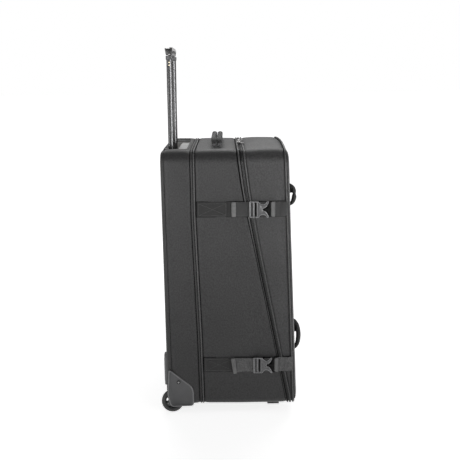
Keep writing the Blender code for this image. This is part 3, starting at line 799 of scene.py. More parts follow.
def make_front_panel():
    """Padded front of the lid, sewn in behind its piping."""
    profile = ((4.5, -5.8), (3.2, -4.0), (2.8, -1.4), (3.4, 0.2), (5.4, 1.3), (10.0, 1.9), (24.0, 2.2),
               (60.0, 2.4), (110.0, 2.5), (170.0, 2.5), (225.0, 2.5))
    solids = Solids().rings([inset_ring(inset, front_x, shift) for inset, shift in profile])
    panel = piece("lid_front_pad", bow_lid(solids.verts), solids.faces, "panel", None, 60.0)
    simulate_pad(panel, 0.005, 4.0, 0.003)
    vertices = panel.data.vertices
    moved = np.array([v.co for v in vertices]) / MM
    back = front_x(np.minimum(moved[:, 2], TOP_Z)) - 5.8
    edge = np.minimum(TOP_Z - moved[:, 2], moved[:, 2] - BOTTOM_Z)
    edge = np.minimum(HALF_WIDTH - np.abs(moved[:, 1]), edge)
    front = np.clip((moved[:, 0] - back - 3.0) / 3.0, 0, 1)     # 0 on the pad's back, 1 on its face
    crown = np.clip((edge - 8.0) / 70.0, 0, 1) ** 0.5 * 1.4 + cloth_swell(moved, 0.9, 21.0)
    moved[:, 0] = np.clip(moved[:, 0] + front * crown, back, back + 11.5)
    vertices.foreach_set("co", (moved * MM).ravel())
    panel.data.shade_smooth()
    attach(panel, "lid")
    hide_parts("lid_front_panel")


# ---------------------------------------------------------------- seams, piping and zip

def make_seam_binding():
    """Recessed tape over the body's joint, with a flat rib and a piped edge on it; the tape's near-black
    colour is painted shade in the groove.
    """
    half = SEAM_HALF - 0.3
    tape = [(-half, -2.8), (-half, -1.3), (half, -1.3), (half, -2.8)]
    trim("seam_binding_tape_painted_shade", seam_x, tape, "groove", "case", "binding", node="seam_binding")
    rib = [(-5.4, -1.6), (-5.4, 0.2), (-4.7, 0.9), (-1.4, 0.9), (-0.7, 0.2), (-0.7, -1.6)]
    trim("seam_rib", seam_x, rib, "shell", "case", "binding", 60.0)
    trim("seam_piping", seam_x, bead(3.0, 2.2, 2.9), "piping", "case", "binding")


def make_zip():
    """Tape, coil and piping on each side of the split. The body's piping sinks away lower down."""
    z = OUTLINE[:, 1]
    sinking = (430.0, 560.0)                     # heights between which the body's piping sinks
    for name, body, sign in (("body", "case", -1), ("lid", "lid", 1)):
        line_of = tape_line(sign)
        margin = (body_margin if sign < 0 else lid_margin)(z) - 0.3
        profile = [(0.4, -2.8), (0.4, 0.6), (1.2, 0.9), (3.2, 0.7), (3.7, -1.4), (margin, -1.6),
                   (margin, -2.8)]
        # the body's tape is near-black, painted shadow in the gap beside the body's fabric edge; the lid's
        # tape keeps its own colour
        trim(name + "_zip_tape_cloth", line_of, [(sign * shift, proud) for shift, proud in profile],
             "tape" if sign > 0 else "groove", body, "zip_tape", 60.0, name + "_zip_tape")
        if sign < 0:
            size, rise = np.interp(z, sinking, (0.9, 2.1)), np.interp(z, sinking, (-2.0, 0.4))
            centre = -np.interp(z, (430.0, 560.0, 640.0), (7.0, 6.6, 6.8))
        else:
            size, rise = np.interp(z, ZIP_Z[1:], (1.7, 2.1)), 0.9
            centre = np.interp(z, ZIP_Z, (4.4, 4.9, 8.2))
        beads = [(centre + size * math.cos(a), rise + size * math.sin(a))
                 for a in np.radians(np.arange(0, 360, 36))]
        trim(name + "_zip_piping", line_of, beads, "piping", body, "binding")
        make_zip_teeth(name, body, sign, line_of)


def tape_line(sign):
    """The split; the body's tape is held back under the case, where the lid swings past."""
    if sign > 0:
        return split_x
    return lambda z: split_x(z) - 2.2 * np.clip((34.0 - np.asarray(z, float)) / 8.0, 0.0, 1.0)


def make_zip_teeth(name, body, sign, line_of, pitch=2.6):
    """A row of coil teeth along the tape's edge."""
    loop, outward = np.vstack([OUTLINE, OUTLINE[:1]]), np.vstack([NORMALS, NORMALS[:1]])
    travelled = travel(loop)
    solids = Solids()
    for middle in np.arange(0.0 if sign < 0 else pitch / 2, travelled[-1] - pitch, pitch):
        centre, normal = (np.array(at(middle, travelled, points)) for points in (loop, outward))
        normal /= np.linalg.norm(normal)
        along = np.array((-normal[1], normal[0]))
        x = float(line_of(centre[1]))
        rings = []
        for shift, half, rise in ((0.5, 0.45, 1.5), (1.4, 0.75, 1.95), (3.0, 0.6, 1.75)):
            ring = [centre + along * step + normal * lift for step, lift in rectangle(-half, half, 0.9, rise)]
            rings.append([(x + sign * shift, y, z) for y, z in ring])
        solids.rings(rings)
    solids.make(name + "_zip_teeth", "teeth", body, "zip_tape")


def make_zip_flap():
    """Fabric flap inside the body, behind the zip, that keeps rain out."""
    flap = [(-9.0, -5.3), (-9.0, -6.3), (6.0, -6.3), (6.0, -5.6), (0.0, -5.5)]
    trim("zip_rain_flap", split_x, flap, "lining", "case", "shell_fabric")


def make_lid_piping():
    """Piping between the lid's side and its front, lying in a groove."""
    rings = [around(front_x, shift, proud) for shift, proud in ((-8.2, -2.6), (-8.2, -1.6), (-1.4, -1.6))]
    rings += [inset_ring(5.0, front_x, -1.6), inset_ring(5.0, front_x, -5.8)]
    rings = [bow_lid(ring) for ring in rings]
    # the welt is near-black, painted shade in the groove that the bead lies in
    Solids().rings(rings, closed=True).make("lid_face_welt_painted_shade", "groove", "lid", "binding", 60.0,
                                            "lid_piping")
    rings = [bow_lid(around(front_x, shift, proud)) for shift, proud in bead(-5.0, 2.3, 2.6)]
    Solids().rings(rings, closed=True).make("lid_piping_bead", "piping", "lid", "binding", 60.0)


def make_hinge_gusset():
    """Fabric flap inside the lid's lower edge, reaching just past the hinge line."""
    low, high = cad("hinge_gusset")
    xs = np.linspace(low[0], HINGE_X + 9.0, 14)
    outline = [(x, high[2] - 1.1) for x in xs] + [(x, high[2] - 0.2) for x in xs[::-1]]
    rings = [[(x, y, z) for x, z in outline] for y in np.linspace(low[1] + 4, high[1] - 4, 40)]
    flap = Solids().rings(rings).make("hinge_gusset_fabric", "tape", None, "zip_tape")
    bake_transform(flap)
    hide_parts("hinge_gusset")


# ---------------------------------------------------------------- straps and buckles

def ribbon(solids, path, half_width, thickness, place, centre=0.0, steps=7):
    """Flat webbing along (a, depth) points, with rounded selvedges; place maps (a, b, depth)."""
    points = np.array(path, float)
    tangent = np.gradient(points, axis=0)
    tangent /= np.linalg.norm(tangent, axis=1)[:, None]
    rings = []
    for (a, depth), (t_a, t_d) in zip(points, tangent):
        ring = []
        across = np.linspace(-1, 1, steps)
        for top, row in ((1, across), (-1, across[::-1])):
            for c in row:
                thin = thickness / 2 * (1.0 if abs(c) < 0.99 else 0.45)
                ring.append(place(a - t_d * top * thin, centre + c * half_width, depth + t_a * top * thin))
        rings.append(ring)
    return solids.rings(rings)


def smooth_path(points, count=40):
    """Catmull-Rom curve through the points, evenly sampled."""
    points = np.array(points, float)
    padded = np.vstack([2 * points[0] - points[1], points, 2 * points[-1] - points[-2]])
    result = []
    for i in range(1, len(padded) - 2):
        p0, p1, p2, p3 = padded[i - 1:i + 3]
        for t in np.linspace(0, 1, 12, endpoint=False):
            result.append(0.5 * (2 * p1 + (p2 - p0) * t + (2 * p0 - 5 * p1 + 4 * p2 - p3) * t ** 2
                                 + (3 * p1 - p0 - 3 * p2 + p3) * t ** 3))
    result.append(points[-1])
    result = np.array(result)
    travelled = travel(result)
    return np.column_stack(at(np.linspace(0, travelled[-1], count), travelled, result))


def strap_layer(name, path, half_width, thickness, place, middle, look, body, node=None):
    """One length of webbing as a piece of its own."""
    layer = ribbon(Solids(), path, half_width, thickness, place, middle)
    layer.make(name, look, body, "webbing", node=node)


def make_body_strap(level_name, name, side):
    node = "body_strap_%s_%s" % (level_name, name)
    low, high = cad(node)
    middle, half = middle_half(low, high, 2)
    start, ladder, place = low[0], BUCKLE_X[level_name], side_place(side)
    path = smooth_path([(start, 1.6), (start + 40, 1.7), (start + 78, 1.8), (start + 84, 3.2),
                        (ladder - 4, 4.0), (ladder + 10, 4.4)], 44)
    strap_layer(node + "_webbing", path, half, 1.7, place, middle, "webbing", "case", node)
    # a wider near-black strip under the strap paints the shadow along both of its edges
    path = smooth_path([(start - 1.2, 0.9), (start + 78, 0.9), (start + 84, 1.3), (ladder + 3, 1.6)], 30)
    strap_layer(node + "_shadow_outline", path, half + 1.4, 0.9, place, middle, "groove", "case")
    path = [(start + 1, 3.2), (start + 30, 3.4), (start + 60, 3.4), (start + 80, 3.2)]
    strap_layer(node + "_patch", path, half - 0.3, 1.5, place, middle, "webbing", "case")
    threads = Solids()
    box = rectangle(start + 5, start + 76, middle - (half - 4), middle + (half - 4))
    crossed_box(threads, box, lambda x, z: place(x, z, 4.35))
    threads.make(node + "_stitches", "thread", "case", "webbing")
    make_strap_tail(node, level_name, ladder, middle, half, place)


def make_strap_tail(node, level_name, ladder, middle, half, place):
    """The strap's free end, with a flat double hem above and a curled one below."""
    flat = level_name == "upper"
    tip, droop = ladder - (46.5 if flat else 57.0), 0.0 if flat else 4.0
    path = [(ladder + 9, 9.0), (ladder + 3, 8.2), (ladder - 6, 6.8), (ladder - 24, 6.4), (tip + 12, 6.8)]
    if flat:
        path += [(tip + 3, 7.0), (tip + 0.6, 8.3), (tip + 3, 9.8), (tip + 7, 9.8), (tip + 11.5, 9.0)]
    else:
        path += [(tip + 4, 8.6), (tip + 0.4, 11.0), (tip + 2.6, 13.6), (tip + 7, 13.4), (tip + 10, 11.6)]

    def tail_place(x, z, depth):
        near_tip = float(np.clip((tip + 26 - x) / 26, 0, 1))
        low = (middle - z) / half
        return place(x + droop * near_tip * low * 0.9, z - droop * near_tip * (0.4 + 0.5 * low),
                     depth + 0.3 * droop * near_tip * low)

    path = smooth_path(path, 64)
    hem = next(k for k, (x, _) in enumerate(path) if x < tip + 11.6)
    # the tail's lighter webbing is painted sheen, and the hem's lighter still a painted highlight
    for part, points, look in (("_tail", path[:hem + 1], STRAP_LOOK[level_name]),
                               ("_hem", path[hem:], "worn")):
        strap_layer(node + part, points, half - 0.5, 1.6, tail_place, middle, look, "case")


def make_lid_strap(level_name, name, side):
    node = "lid_strap_%s_%s" % (level_name, name)
    low, high = cad(node)
    middle, half = middle_half(low, high, 2)
    loop, end, place = low[0], float(front_x(middle)) - 2.5, side_place(side)
    path = [(end, -0.4), (end - 4, 1.8), (end - 13, 4.2), (end - 22, 3.4), (loop + 24, 3.6), (loop + 13, 4.4),
            (loop + 4, 5.2), (loop + 0.8, 7.6), (loop + 2.6, 10.4), (loop + 7.5, 10.6), (loop + 10.4, 8.4),
            (loop + 11.4, 5.8)]
    path = smooth_path(path, 72)
    turn = int(np.argmin(path[:, 0])) + 1
    # the lid strap's lighter webbing is painted sheen, and its hem's lighter still a painted highlight
    look = STRAP_LOOK[level_name]
    strap_layer(node + "_webbing", path[:turn + 1], half, 1.6, place, middle, look, "lid", node)
    strap_layer(node + "_hem", path[turn:], half, 1.6, place, middle, "worn", "lid")
    # a wider near-black strip under the lid strap paints the shadow along both of its edges
    back = smooth_path([(end, -1.0), (end - 4, 0.8), (end - 14, 1.2), (loop + 14, 1.4), (loop + 2, 1.4)], 30)
    strap_layer(node + "_shadow_outline", back, half + 1.4, 0.9, place, middle, "groove", "lid")
    sewn = Solids()
    for x in (loop + 14.5, end - 5.0):
        depth = float(np.interp(x, (loop + 14, end - 9), (5.0, 2.9)))
        stitches(sewn, [place(x, z, depth) for z in (middle - half + 2, middle + half - 2)])
    sewn.make(node + "_stitches", "thread", "lid", "webbing")


def buckle_box(node):
    """Rear, front, middle height, half height, and inner and outer depth of a buckle."""
    low, high = cad(node)
    inner, outer = sorted((abs(low[1]), abs(high[1])))
    return (low[0], high[0], *middle_half(low, high, 2), inner - HALF_WIDTH, outer - HALF_WIDTH)


def make_female_buckle(level_name, name, side):
    node = "buckle_female_%s_%s" % (level_name, name)
    rear, _, middle, half, inner, outer = buckle_box(node)
    place = side_place(side)
    # outer bevels take the light copy as painted highlight, walls the dark plastic as painted shade
    hardware = ["buckle", "buckle_edge", "dark"]
    top = outer - 0.2

    def box(a, b, low_z, high_z):
        return rectangle(rear + a, rear + b, middle + low_z, middle + high_z)

    ladder, core = Solids(), Solids()
    for sign in (-1, 1):
        shape = box(0.8, 21.0, *sorted((sign * (half - 2.8), sign * half)))
        plate(ladder, rounded_polygon(shape, 1.2), inner + 1.0, top, place, 1.0, True)
    bars = ((0.0, 4.6, half - 1, inner + 2.0, top), (9.0, 13.4, half - 2, inner + 2.6, top - 0.6))
    for a, b, reach, lowest, highest in bars:
        plate(ladder, rounded_polygon(box(a, b, -reach, reach), 1.2), lowest, highest, place, 1.4, True)
    ladder.make(node + "_ladder", hardware, "case", "buckle_plastic", 50.0, node)
    # Upper half of the cover, from its rear edge to the arm's tip and back down the notch
    arm = [(19.4, half), (23.6, half), (25.8, half - 2.6), (28.6, 15.2), (33.0, 13.4), (38.0, 13.6),
           (43.0, 16.4), (46.2, half), (50.4, half), (50.4, half - 4.0), (46.4, 10.2), (42.2, 4.4),
           (36.4, 3.3)]
    outline = arm + [(34.4, 0.0)] + [(x, -z) for x, z in reversed(arm)]
    shape = rounded_polygon([(rear + x, middle + z) for x, z in outline], 1.8)
    cover = plate(Solids(), shape, outer - 3.2, outer, place, 1.2, True)
    cover.make(node + "_cover", hardware, "case", "buckle_plastic", 60.0)
    # the core behind the cover is near-black, painted shade in the buckle's slots and notch
    plate(core, rounded_polygon(box(19, 48, -(half - 1), half - 1), 2.0), inner, inner + 1.8, place)
    for sign in (-1, 1):
        wall = box(19.5, 25, *sorted((sign * (half - 2.4), sign * (half - 0.4))))
        plate(core, wall, inner + 1.0, outer - 2.0, place, 0.4)
    core.make(node + "_core", "buckle_dark", "case", "buckle_plastic", 50.0)


def make_male_buckle(level_name, name, side):
    node = "buckle_male_%s_%s" % (level_name, name)
    tip, back, middle, half, inner, outer = buckle_box(node)
    place = side_place(side)
    neck = back - 16.0                           # where the prongs leave the strap's loop
    prongs, pads = Solids(), Solids()

    def flat(solids, shape, lowest, highest, edge, radius=1.5, worn=False):
        shape = rounded_polygon([(x, middle + z) for x, z in shape], radius)
        plate(solids, shape, lowest, highest, place, edge, worn)

    flat(prongs, [(neck + 3, -4.2), (neck + 3, 4.2), (neck - 6, 3.4), (tip + 6, 2.6), (tip + 5, 0.0),
                  (tip + 6, -2.6), (neck - 6, -3.4)], inner, outer + 0.2, 0.8)
    for sign in (-1, 1):
        prong = [(neck + 3, 12.8), (neck + 3, 18.0), (tip + 2, 18.0), (tip, 15.5), (tip + 2, 12.8)]
        flat(prongs, [(x, sign * z) for x, z in prong], inner, outer - 1.8, 0.6)
        cheek = rectangle(neck, neck + 12, sign * (half - 1.7), sign * half)
        flat(prongs, cheek, inner - 0.4, outer - 1.0, 0.5, 0.6)
        pad = [(tip - 6, 12.0), (tip - 6, 19.0), (neck - 5, 19.0), (neck - 5, 12.0)]
        flat(pads, [(x, sign * z) for x, z in pad], inner + 0.4, outer - 1.0, 0.7, 3.2, True)
    flat(prongs, rectangle(neck, neck + 3.8, -half, half), inner - 0.4, outer - 0.4, 1.0)
    bar = rectangle(neck + 8.5, neck + 12, -half + 1, half - 1)
    flat(prongs, bar, inner + 0.4, outer - 2.4, 1.0)
    # the prongs take the near-black copy too, painted shade where they sit under the cover
    prongs.make(node + "_prongs", "buckle_dark", "lid", "buckle_plastic", 50.0, node)
    # the pads are dark with a lighter bevel: painted shade in the notch, ringed by a painted highlight
    pads.make(node + "_pads", ["dark", "buckle", "dark"], "lid", "buckle_plastic", 60.0)


def make_straps():
    for level_name in BUCKLE_X:
        for name, side in SIDES:
            for make in (make_body_strap, make_lid_strap, make_female_buckle, make_male_buckle):
                make(level_name, name, side)


# ---------------------------------------------------------------- carry handles

def padded_loop(name, path, widths, thicknesses, place, material, body, slot, node=None):
    """Stuffed strap along (along, out) points with a rounded section; place maps (along, side, out)."""
    points = np.array(path)
    tangent = np.gradient(points, axis=0)
    tangent /= np.linalg.norm(tangent, axis=1)[:, None]
    rings = []
    for (along, out), (t_a, t_o), width, thick in zip(points, tangent, widths, thicknesses):
        ring = []
        for angle in np.linspace(0, 2 * math.pi, 21)[:-1]:
            c, s = math.cos(angle), math.sin(angle)
            side = width * math.copysign(abs(c) ** 0.85, c)
            lift = thick * math.copysign(abs(s) ** 0.85, s)
            ring.append(place(along - t_o * lift, side, out + t_a * lift))
        rings.append(ring)
    obj = Solids().rings(rings).make(name, material, body, slot, 60.0, node)


def make_top_handles():
    for name in ("rear", "front"):
        node = "top_handle_" + name
        low, high = cad(node)
        centre_x = (low[0] + high[0]) / 2
        apart = 0.8 if name == "front" else -0.8
        span, crown, base = (high[1] - low[1]) / 2 - 3, high[2] - 4, low[2] + 3.5

        def place(along, side, out, cx=centre_x, lean=apart / (crown - base), foot=base):
            return (cx + side + lean * (out - foot), along, out)

        ts = np.linspace(-1, 1, 61)
        along = span * np.sin(ts * math.pi / 2)
        out = base + (crown - base) * (1 - np.abs(ts) ** 4)
        ribs = 0.25 * np.cos(ts * 70.0)
        widths = 7.4 + 0.2 * ribs - 1.8 * np.abs(ts) ** 6
        thicks = 6.0 + 0.4 * ribs - 1.6 * np.abs(ts) ** 8
        padded_loop(node + "_pad", np.column_stack([along, out]), widths, thicks, place, "handle",
                    "carry_loop_" + name, "webbing", node)
        make_handle_collars(name, centre_x, span, base)


def make_handle_collars(name, centre_x, span, base):
    """Moulded cuffs round the loop's ends, each holding a rivet."""
    collars, rivets = Solids(), Solids()
    profile = ((0.0, 5.0, 3.0), (0.12, 6.1, 3.9), (0.5, 6.4, 4.6), (0.9, 6.6, 5.4), (1.0, 6.0, 4.8))
    for side in (-1, 1):
        rings = []
        for t, width, height in profile:
            y = side * (span + 6.0 - 30.0 * t)
            lift = base + 7.5 * t ** 1.5
            section = rounded_polygon(rectangle(-width, width, -height, height), 3.0)
            rings.append([(centre_x + a, y, lift + b) for a, b in section])
        collars.rings(rings)
        head = base + 4.6
        rivet = [level(circle((0, 0), radius, 12), head + rise)
                 for radius, rise in ((2.2, -0.8), (2.2, 0.5), (2.2 * 0.6, 1.1))]
        rivets.rings([[(centre_x + a, side * (span - 2) + b, z) for a, b, z in ring] for ring in rivet])
    collars.make("top_handle_cuffs_" + name, "buckle", "carry_loop_" + name, "buckle_plastic", 50.0)
    rivets.make("top_handle_rivets_" + name, "steel", "carry_loop_" + name, "screw_steel")


def make_top_anchors():
    rear, front = cad("top_handle_rear"), cad("top_handle_front")
    x_mid = (rear[0][0] + front[1][0]) / 2
    span = (rear[1][1] - rear[0][1]) / 2
    patches, threads = Solids(), Solids()
    for side in (-1, 1):
        y0, y1 = side * (span - 30), side * (span + 16)
        outline = rounded_polygon(rectangle(x_mid - 20, x_mid + 20, y0, y1), 5.0)
        plate(patches, outline, TOP_Z - 1.2, TOP_Z + 0.7, along_axes, 0.7)
        inner = rectangle(x_mid - 17, x_mid + 17, y0 + side * 3, y1 - side * 3)
        stitches(threads, level(inner + inner[:1], TOP_Z + 0.7))
    patches.make("top_handle_patches", "tape", "case", "webbing")
    threads.make("top_handle_patch_stitches", "thread", "case", "webbing")


def make_front_handles():
    for name, body in (("upper", "front_loop_upper"), ("lower", "front_loop_lower")):
        node = "front_handle_" + name
        joint = next(j for j in frame["joints"] if j["name"] == body + "_flop")
        base = np.array(joint["pos_m"]) / MM
        low, high = cad(node)
        half = (high[2] - low[2]) / 2 - 1.5

        def place(along, side, out, b=base):
            return (b[0] + out - along * FRONT_LEAN, side, b[2] + along)

        ts = np.linspace(0, 1, 57)
        along = -half * np.cos(ts * math.pi)
        out = (high[0] - base[0] - 5.5) * np.sin(ts * math.pi) ** 0.8
        full = np.sin(ts * math.pi) ** 0.9
        widths = 4.5 + 7.0 * full
        thicks = 2.0 + 5.0 * full
        if name == "upper":                      # the wrap is pinched above its middle
            thicks -= 2.6 * np.exp(-((ts - 0.52) / 0.05) ** 2)
            thicks += 0.6 * np.exp(-((ts - 0.72) / 0.08) ** 2)
        padded_loop(node + "_pad", np.column_stack([along, out]), widths, thicks, place, "handle",
                    body, "webbing", node)
        along, out = along[31:55], out[31:55]    # the loop's upper half holds a near-black filler, painted shade inside the loop
        padded_loop(node + "_sleeve", np.column_stack([along, out * 0.5]), np.full(24, 4.5),
                    np.maximum(1.2, out * 0.42 - 1.0), place, "groove", body, "webbing")
        make_front_anchor(node, body, base, half)


def make_front_anchor(node, body, base, half):
    """Webbing tabs that run from the loop's ends to the lid's face, with their stitches."""
    threads = Solids()
    for end in (-1, 1):
        z_end = base[2] + end * half
        face = float(front_x(z_end)) + 4.6
        tip = base[0] - end * half * FRONT_LEAN
        path = smooth_path([(z_end + end * 27, face), (z_end + end * 10, face + 0.2),
                            (z_end + end * 3, face + 2.2), (z_end + end * 0.5, tip - 0.5)], 18)
        tab = Solids()
        ribbon(tab, path, 9.5, 1.7, lambda a, b, depth: (depth, b, a))
        label = "upper" if end > 0 else "lower"
        webbing = tab.make("%s_tab_%s" % (node, label), "handle", None, "webbing", 60.0)
        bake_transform(webbing)
        crossed_box(threads, rectangle(-7, 7, z_end + end * 12, z_end + end * 25),
                    lambda y, z: (face + 1.1, y, z), pitch=3.0, length=2.1, radius=0.4)
    threads.make(node + "_tab_stitches", "thread", "lid", "webbing")


# ---------------------------------------------------------------- trolley

def tube_outline(centre, size):
    """Rounded tube section, dense enough for the groove down each broad side."""
    points = rounded_rect(centre, size, 4.8, 8)
    dense = []
    for a, b in zip(points, points[1:] + points[:1]):
        span = math.dist(a, b)
        for t in np.linspace(0, 1, max(1, int(span / 0.7)) if span > 2 else 1, endpoint=False):
            dense.append((a[0] * (1 - t) + b[0] * t, a[1] * (1 - t) + b[1] * t))
    grooved = []
    for x, y in dense:
        dx, dy = x - centre[0], y - centre[1]
        if abs(abs(dy) - size[1] / 2) < 0.05:
            dy -= math.copysign(0.7 * math.exp(-((dx - 1.9) / 0.9) ** 4), dy)
        elif abs(abs(dx) - size[0] / 2) < 0.05:
            dx -= math.copysign(0.7 * math.exp(-(dy / 2.6) ** 4), dx)
        grooved.append((centre[0] + dx, centre[1] + dy))
    return grooved


def make_trolley():
    for name, side in SIDES:
        node = "inner_tube_" + name
        low, high = cad(node)
        centre, size = plan(node)
        outline = tube_outline(centre, size)
        bore = [(centre[0] + (x - centre[0]) * 0.8, centre[1] + (y - centre[1]) * 0.86) for x, y in outline]
        rings = [level(outline, low[2]), level(outline, high[2]), level(bore, high[2]), level(bore, low[2])]
        solids = Solids().rings(rings, closed=True)
        # a stripe of faces just in front of each broad side's groove takes the light metal: a painted
        # highlight on the dark tube
        middles = [np.mean([solids.verts[v][0] for v in face]) - centre[0] for face in solids.faces]
        highlight_stripe = [1 if 2.6 < middle < 4.4 else 0 for middle in middles]
        piece(node + "_drawn", solids.verts, solids.faces, ["tube", "aluminium"], "trolley",
              50.0, highlight_stripe, node)
        make_grip_bracket(name, side, centre)
    make_grip()
    make_button()


def make_grip_bracket(name, side, centre):
    low, high = cad("grip_bracket_" + name)
    bore = rounded_rect(centre, (16.6, 22.6), 4.4)
    rings = []
    for z, grow in ((low[2], -1.2), (low[2] + 0.8, -0.2), (low[2] + 5, 0.2), (high[2] - 1, 0.3),
                    (high[2], 0.2)):
        size = (high[0] - low[0] + grow, high[1] - low[1] + grow)
        rings.append(level(rounded_rect(centre, size, 5.2), z))
    rings += [level(bore, z) for z in (high[2], low[2])]
    Solids().rings(rings, closed=True).make("grip_bracket_%s_sleeve" % name, "guard", "trolley",
                                            "moulded_plastic", 50.0, "grip_bracket_" + name)
    rivets = Solids()
    face = centre[1] + side * 10.4
    for z in (low[2] - 6.5, low[2] - 14.0):
        rivets.rings([[(centre[0] + a, face + side * out, z + b) for a, b in circle((0, 0), radius, 16)]
                      for radius, out in ((2.2, -0.8), (2.2, 0.62), (1.8, 0.76), (1.0, 0.8))])
    rivets.make("grip_rivets_" + name, "brass", "trolley", "screw_steel")


def make_grip():
    """Arched grip with a soft light middle, and flared dark ends."""
    low, high = cad("grip")
    x_mid, half = (low[0] + high[0]) / 2, (high[1] - low[1]) / 2
    width, z0, z1 = high[0] - low[0], low[2], high[2]
    rings = []
    for t in np.linspace(-1, 1, 45):
        arch = (1 - t * t) ** 1.5
        centre = (x_mid + 1.0 * arch, (z0 + z1) / 2 + 2.0 * arch)
        size = (width - 1.6 + 3.4 * arch, z1 - z0 - 0.6 + 3.0 * arch)
        rings.append([(x, t * (half - 3.0), z) for x, z in rounded_rect(centre, size, 6.8)])
    body = Solids().rings(rings).make("grip_core", "dark", "trolley", "dark_plastic", 50.0)
    b_low, b_high = cad("release_button")
    b_mid = (b_low[0] + b_high[0]) / 2 + 1.2
    pocket = [((b_mid - 5.4, b_low[1] + 1.6, b_high[2] - 4.4), (b_mid + 5.4, b_high[1] - 1.6, z1 + 20.0))]
    cut_away(body, pocket)
    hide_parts("grip")
    rings = []
    for t in np.linspace(-1, 1, 41):
        arch = (1 - t * t * 0.6) ** 1.5
        edge = min(1.0, 7.0 * (1 - abs(t)) + 0.35)
        centre = (x_mid + 1.2 * arch, z1 - 3.4 + 3.6 * arch)
        size = ((width + 2.6 * arch + 0.4) * (0.9 + 0.1 * edge), 8.4 * edge)
        rings.append([(x, t * (half - 22.0), z) for x, z in rounded_rect(centre, size, 2.9 * edge)])
    insert = Solids().rings(rings).make("grip_insert", "grip_light", "trolley", "moulded_plastic", 50.0)
    cut_away(insert, pocket)
    caps, bands = Solids(), Solids()
    for side in (-1, 1):
        outline = [(x_mid - 11.6, z1 + 3.0), (x_mid - 5.0, z1 + 0.8), (x_mid + 2.0, z1 + 1.0),
                   (x_mid + 8.6, z1 + 2.2), (x_mid + 9.2, z1 - 2.0), (x_mid + 8.2, z1 - 11.0),
                   (x_mid + 7.4, z0 + 1.0), (x_mid - 8.2, z0 + 1.0), (x_mid - 9.4, z1 - 10.0)]
        plate(caps, rounded_polygon(outline, 2.6), side * (half - 9.0), side * half, across_case, 1.3)
        outline = rounded_rect((x_mid + 0.8, z0 + 3.2), (6.4, 2.2), 1.0)
        plate(bands, outline, side * (half - 1.0), side * (half + 0.5), across_case, 0.4)
    caps.make("grip_end_caps", "dark", "trolley", "dark_plastic", 50.0)
    bands.make("grip_end_marks", "grip_light", "trolley", "moulded_plastic", 50.0)


def make_button():
    low, high = cad("release_button")
    x_mid, half = (low[0] + high[0]) / 2 + 1.2, (high[1] - low[1]) / 2 - 2.0
    crown = high[2] + 5.0
    profile = ((crown - 5.0, 0.0), (crown - 1.6, 0.0), (crown - 0.6, 0.9), (crown, 2.6))
    button = Solids().rings([level(rounded_rect((x_mid, 0.0), (10.0 - shrink, 2 * half - shrink), 3.2), z)
                             for z, shrink in profile])
    for y in np.arange(-half + 10, half - 9, 5.0):
        rib = rounded_rect((x_mid, y), (5.6, 1.6), 0.7, 3)
        button.rings([level(rib, z) for z in (crown - 0.8, crown + 0.6)])
    button.make("release_button_cap", "grip_light", "grip_button", "dark_plastic", 50.0, "release_button")


def make_recess():
    """Rim and liner of the grip's recess, and the round guides where the tubes enter."""
    low, high = cad("handle_recess_tray")
    rings = []
    for grow, z in ((0.0, -9.0), (0.3, -2.6), (1.0, -1.0), (2.4, -0.2), (4.0, 0.3), (5.4, -0.2), (5.4, -3.0),
                    (2.2, -9.0)):
        back, front = max(low[0] - grow, low[0] - 3.4), high[0] + grow
        outline = rounded_rect(((back + front) / 2, 0.0), (front - back, high[1] - low[1] + 2 * grow), 7.0)
        rings.append(level(outline, TOP_Z + 1.6 + z))
    # the rim's inner wall takes the light lining copy, painted light against its shade
    rim = Solids().rings(rings, closed=True, marks=[1, 1, 0, 0, 0, 0, 0, 1])
    rim.make("recess_rim", ["shell", "rim_lining"], "case", "binding", 60.0)
    back, front, reach = -151.0, high[0] - 2.4, (high[1] - low[1]) / 2 - 2.8
    shape = rounded_rect(((back + front) / 2, 0.0), (front - back, 2 * reach), 5.0)
    profile = ((0.0, low[2] + 4.0), (0.0, high[2] - 4.4), (0.7, high[2] - 3.0), (2.2, high[2] - 2.2),
               (5.0, high[2] - 2.0))
    liner = Solids().rings([level(offset(shape, inset), z) for inset, z in profile])
    liner.make("recess_liner", "recess", "case", "recess_plastic", 50.0)
    for name, _ in SIDES:
        bottom, top = (corner[2] for corner in cad("tube_collar_" + name))
        middle, extent = plan("tube_collar_" + name)
        hole = rounded_rect(plan("inner_tube_" + name)[0], (16.9, 22.9), 4.6, 7)
        rings = [level(rounded_rect(middle, extent + grow, 8.0, 7), z)
                 for z, grow in ((bottom, 0.0), (bottom + 2.0, 0.0), (top - 1.5, -2.4), (top, -5.0))]
        rings += [level(hole, z) for z in (top - 0.2, bottom)]
        guide = Solids().rings(rings, closed=True)
        guide.make("tube_guide_" + name, "dark", "case", "dark_plastic", 50.0, "tube_collar_" + name)


# ---------------------------------------------------------------- wheels and corners

def turned(solids, profile, centre, steps=48):
    """Turns a closed (radius, y) profile about the wheel's axis."""
    rings = []
    for radius, along in profile:
        rings.append([(centre[0] + a, centre[1] + along, centre[2] + b)
                      for a, b in circle((0, 0), radius, steps)])
    return solids.rings(rings, closed=True)


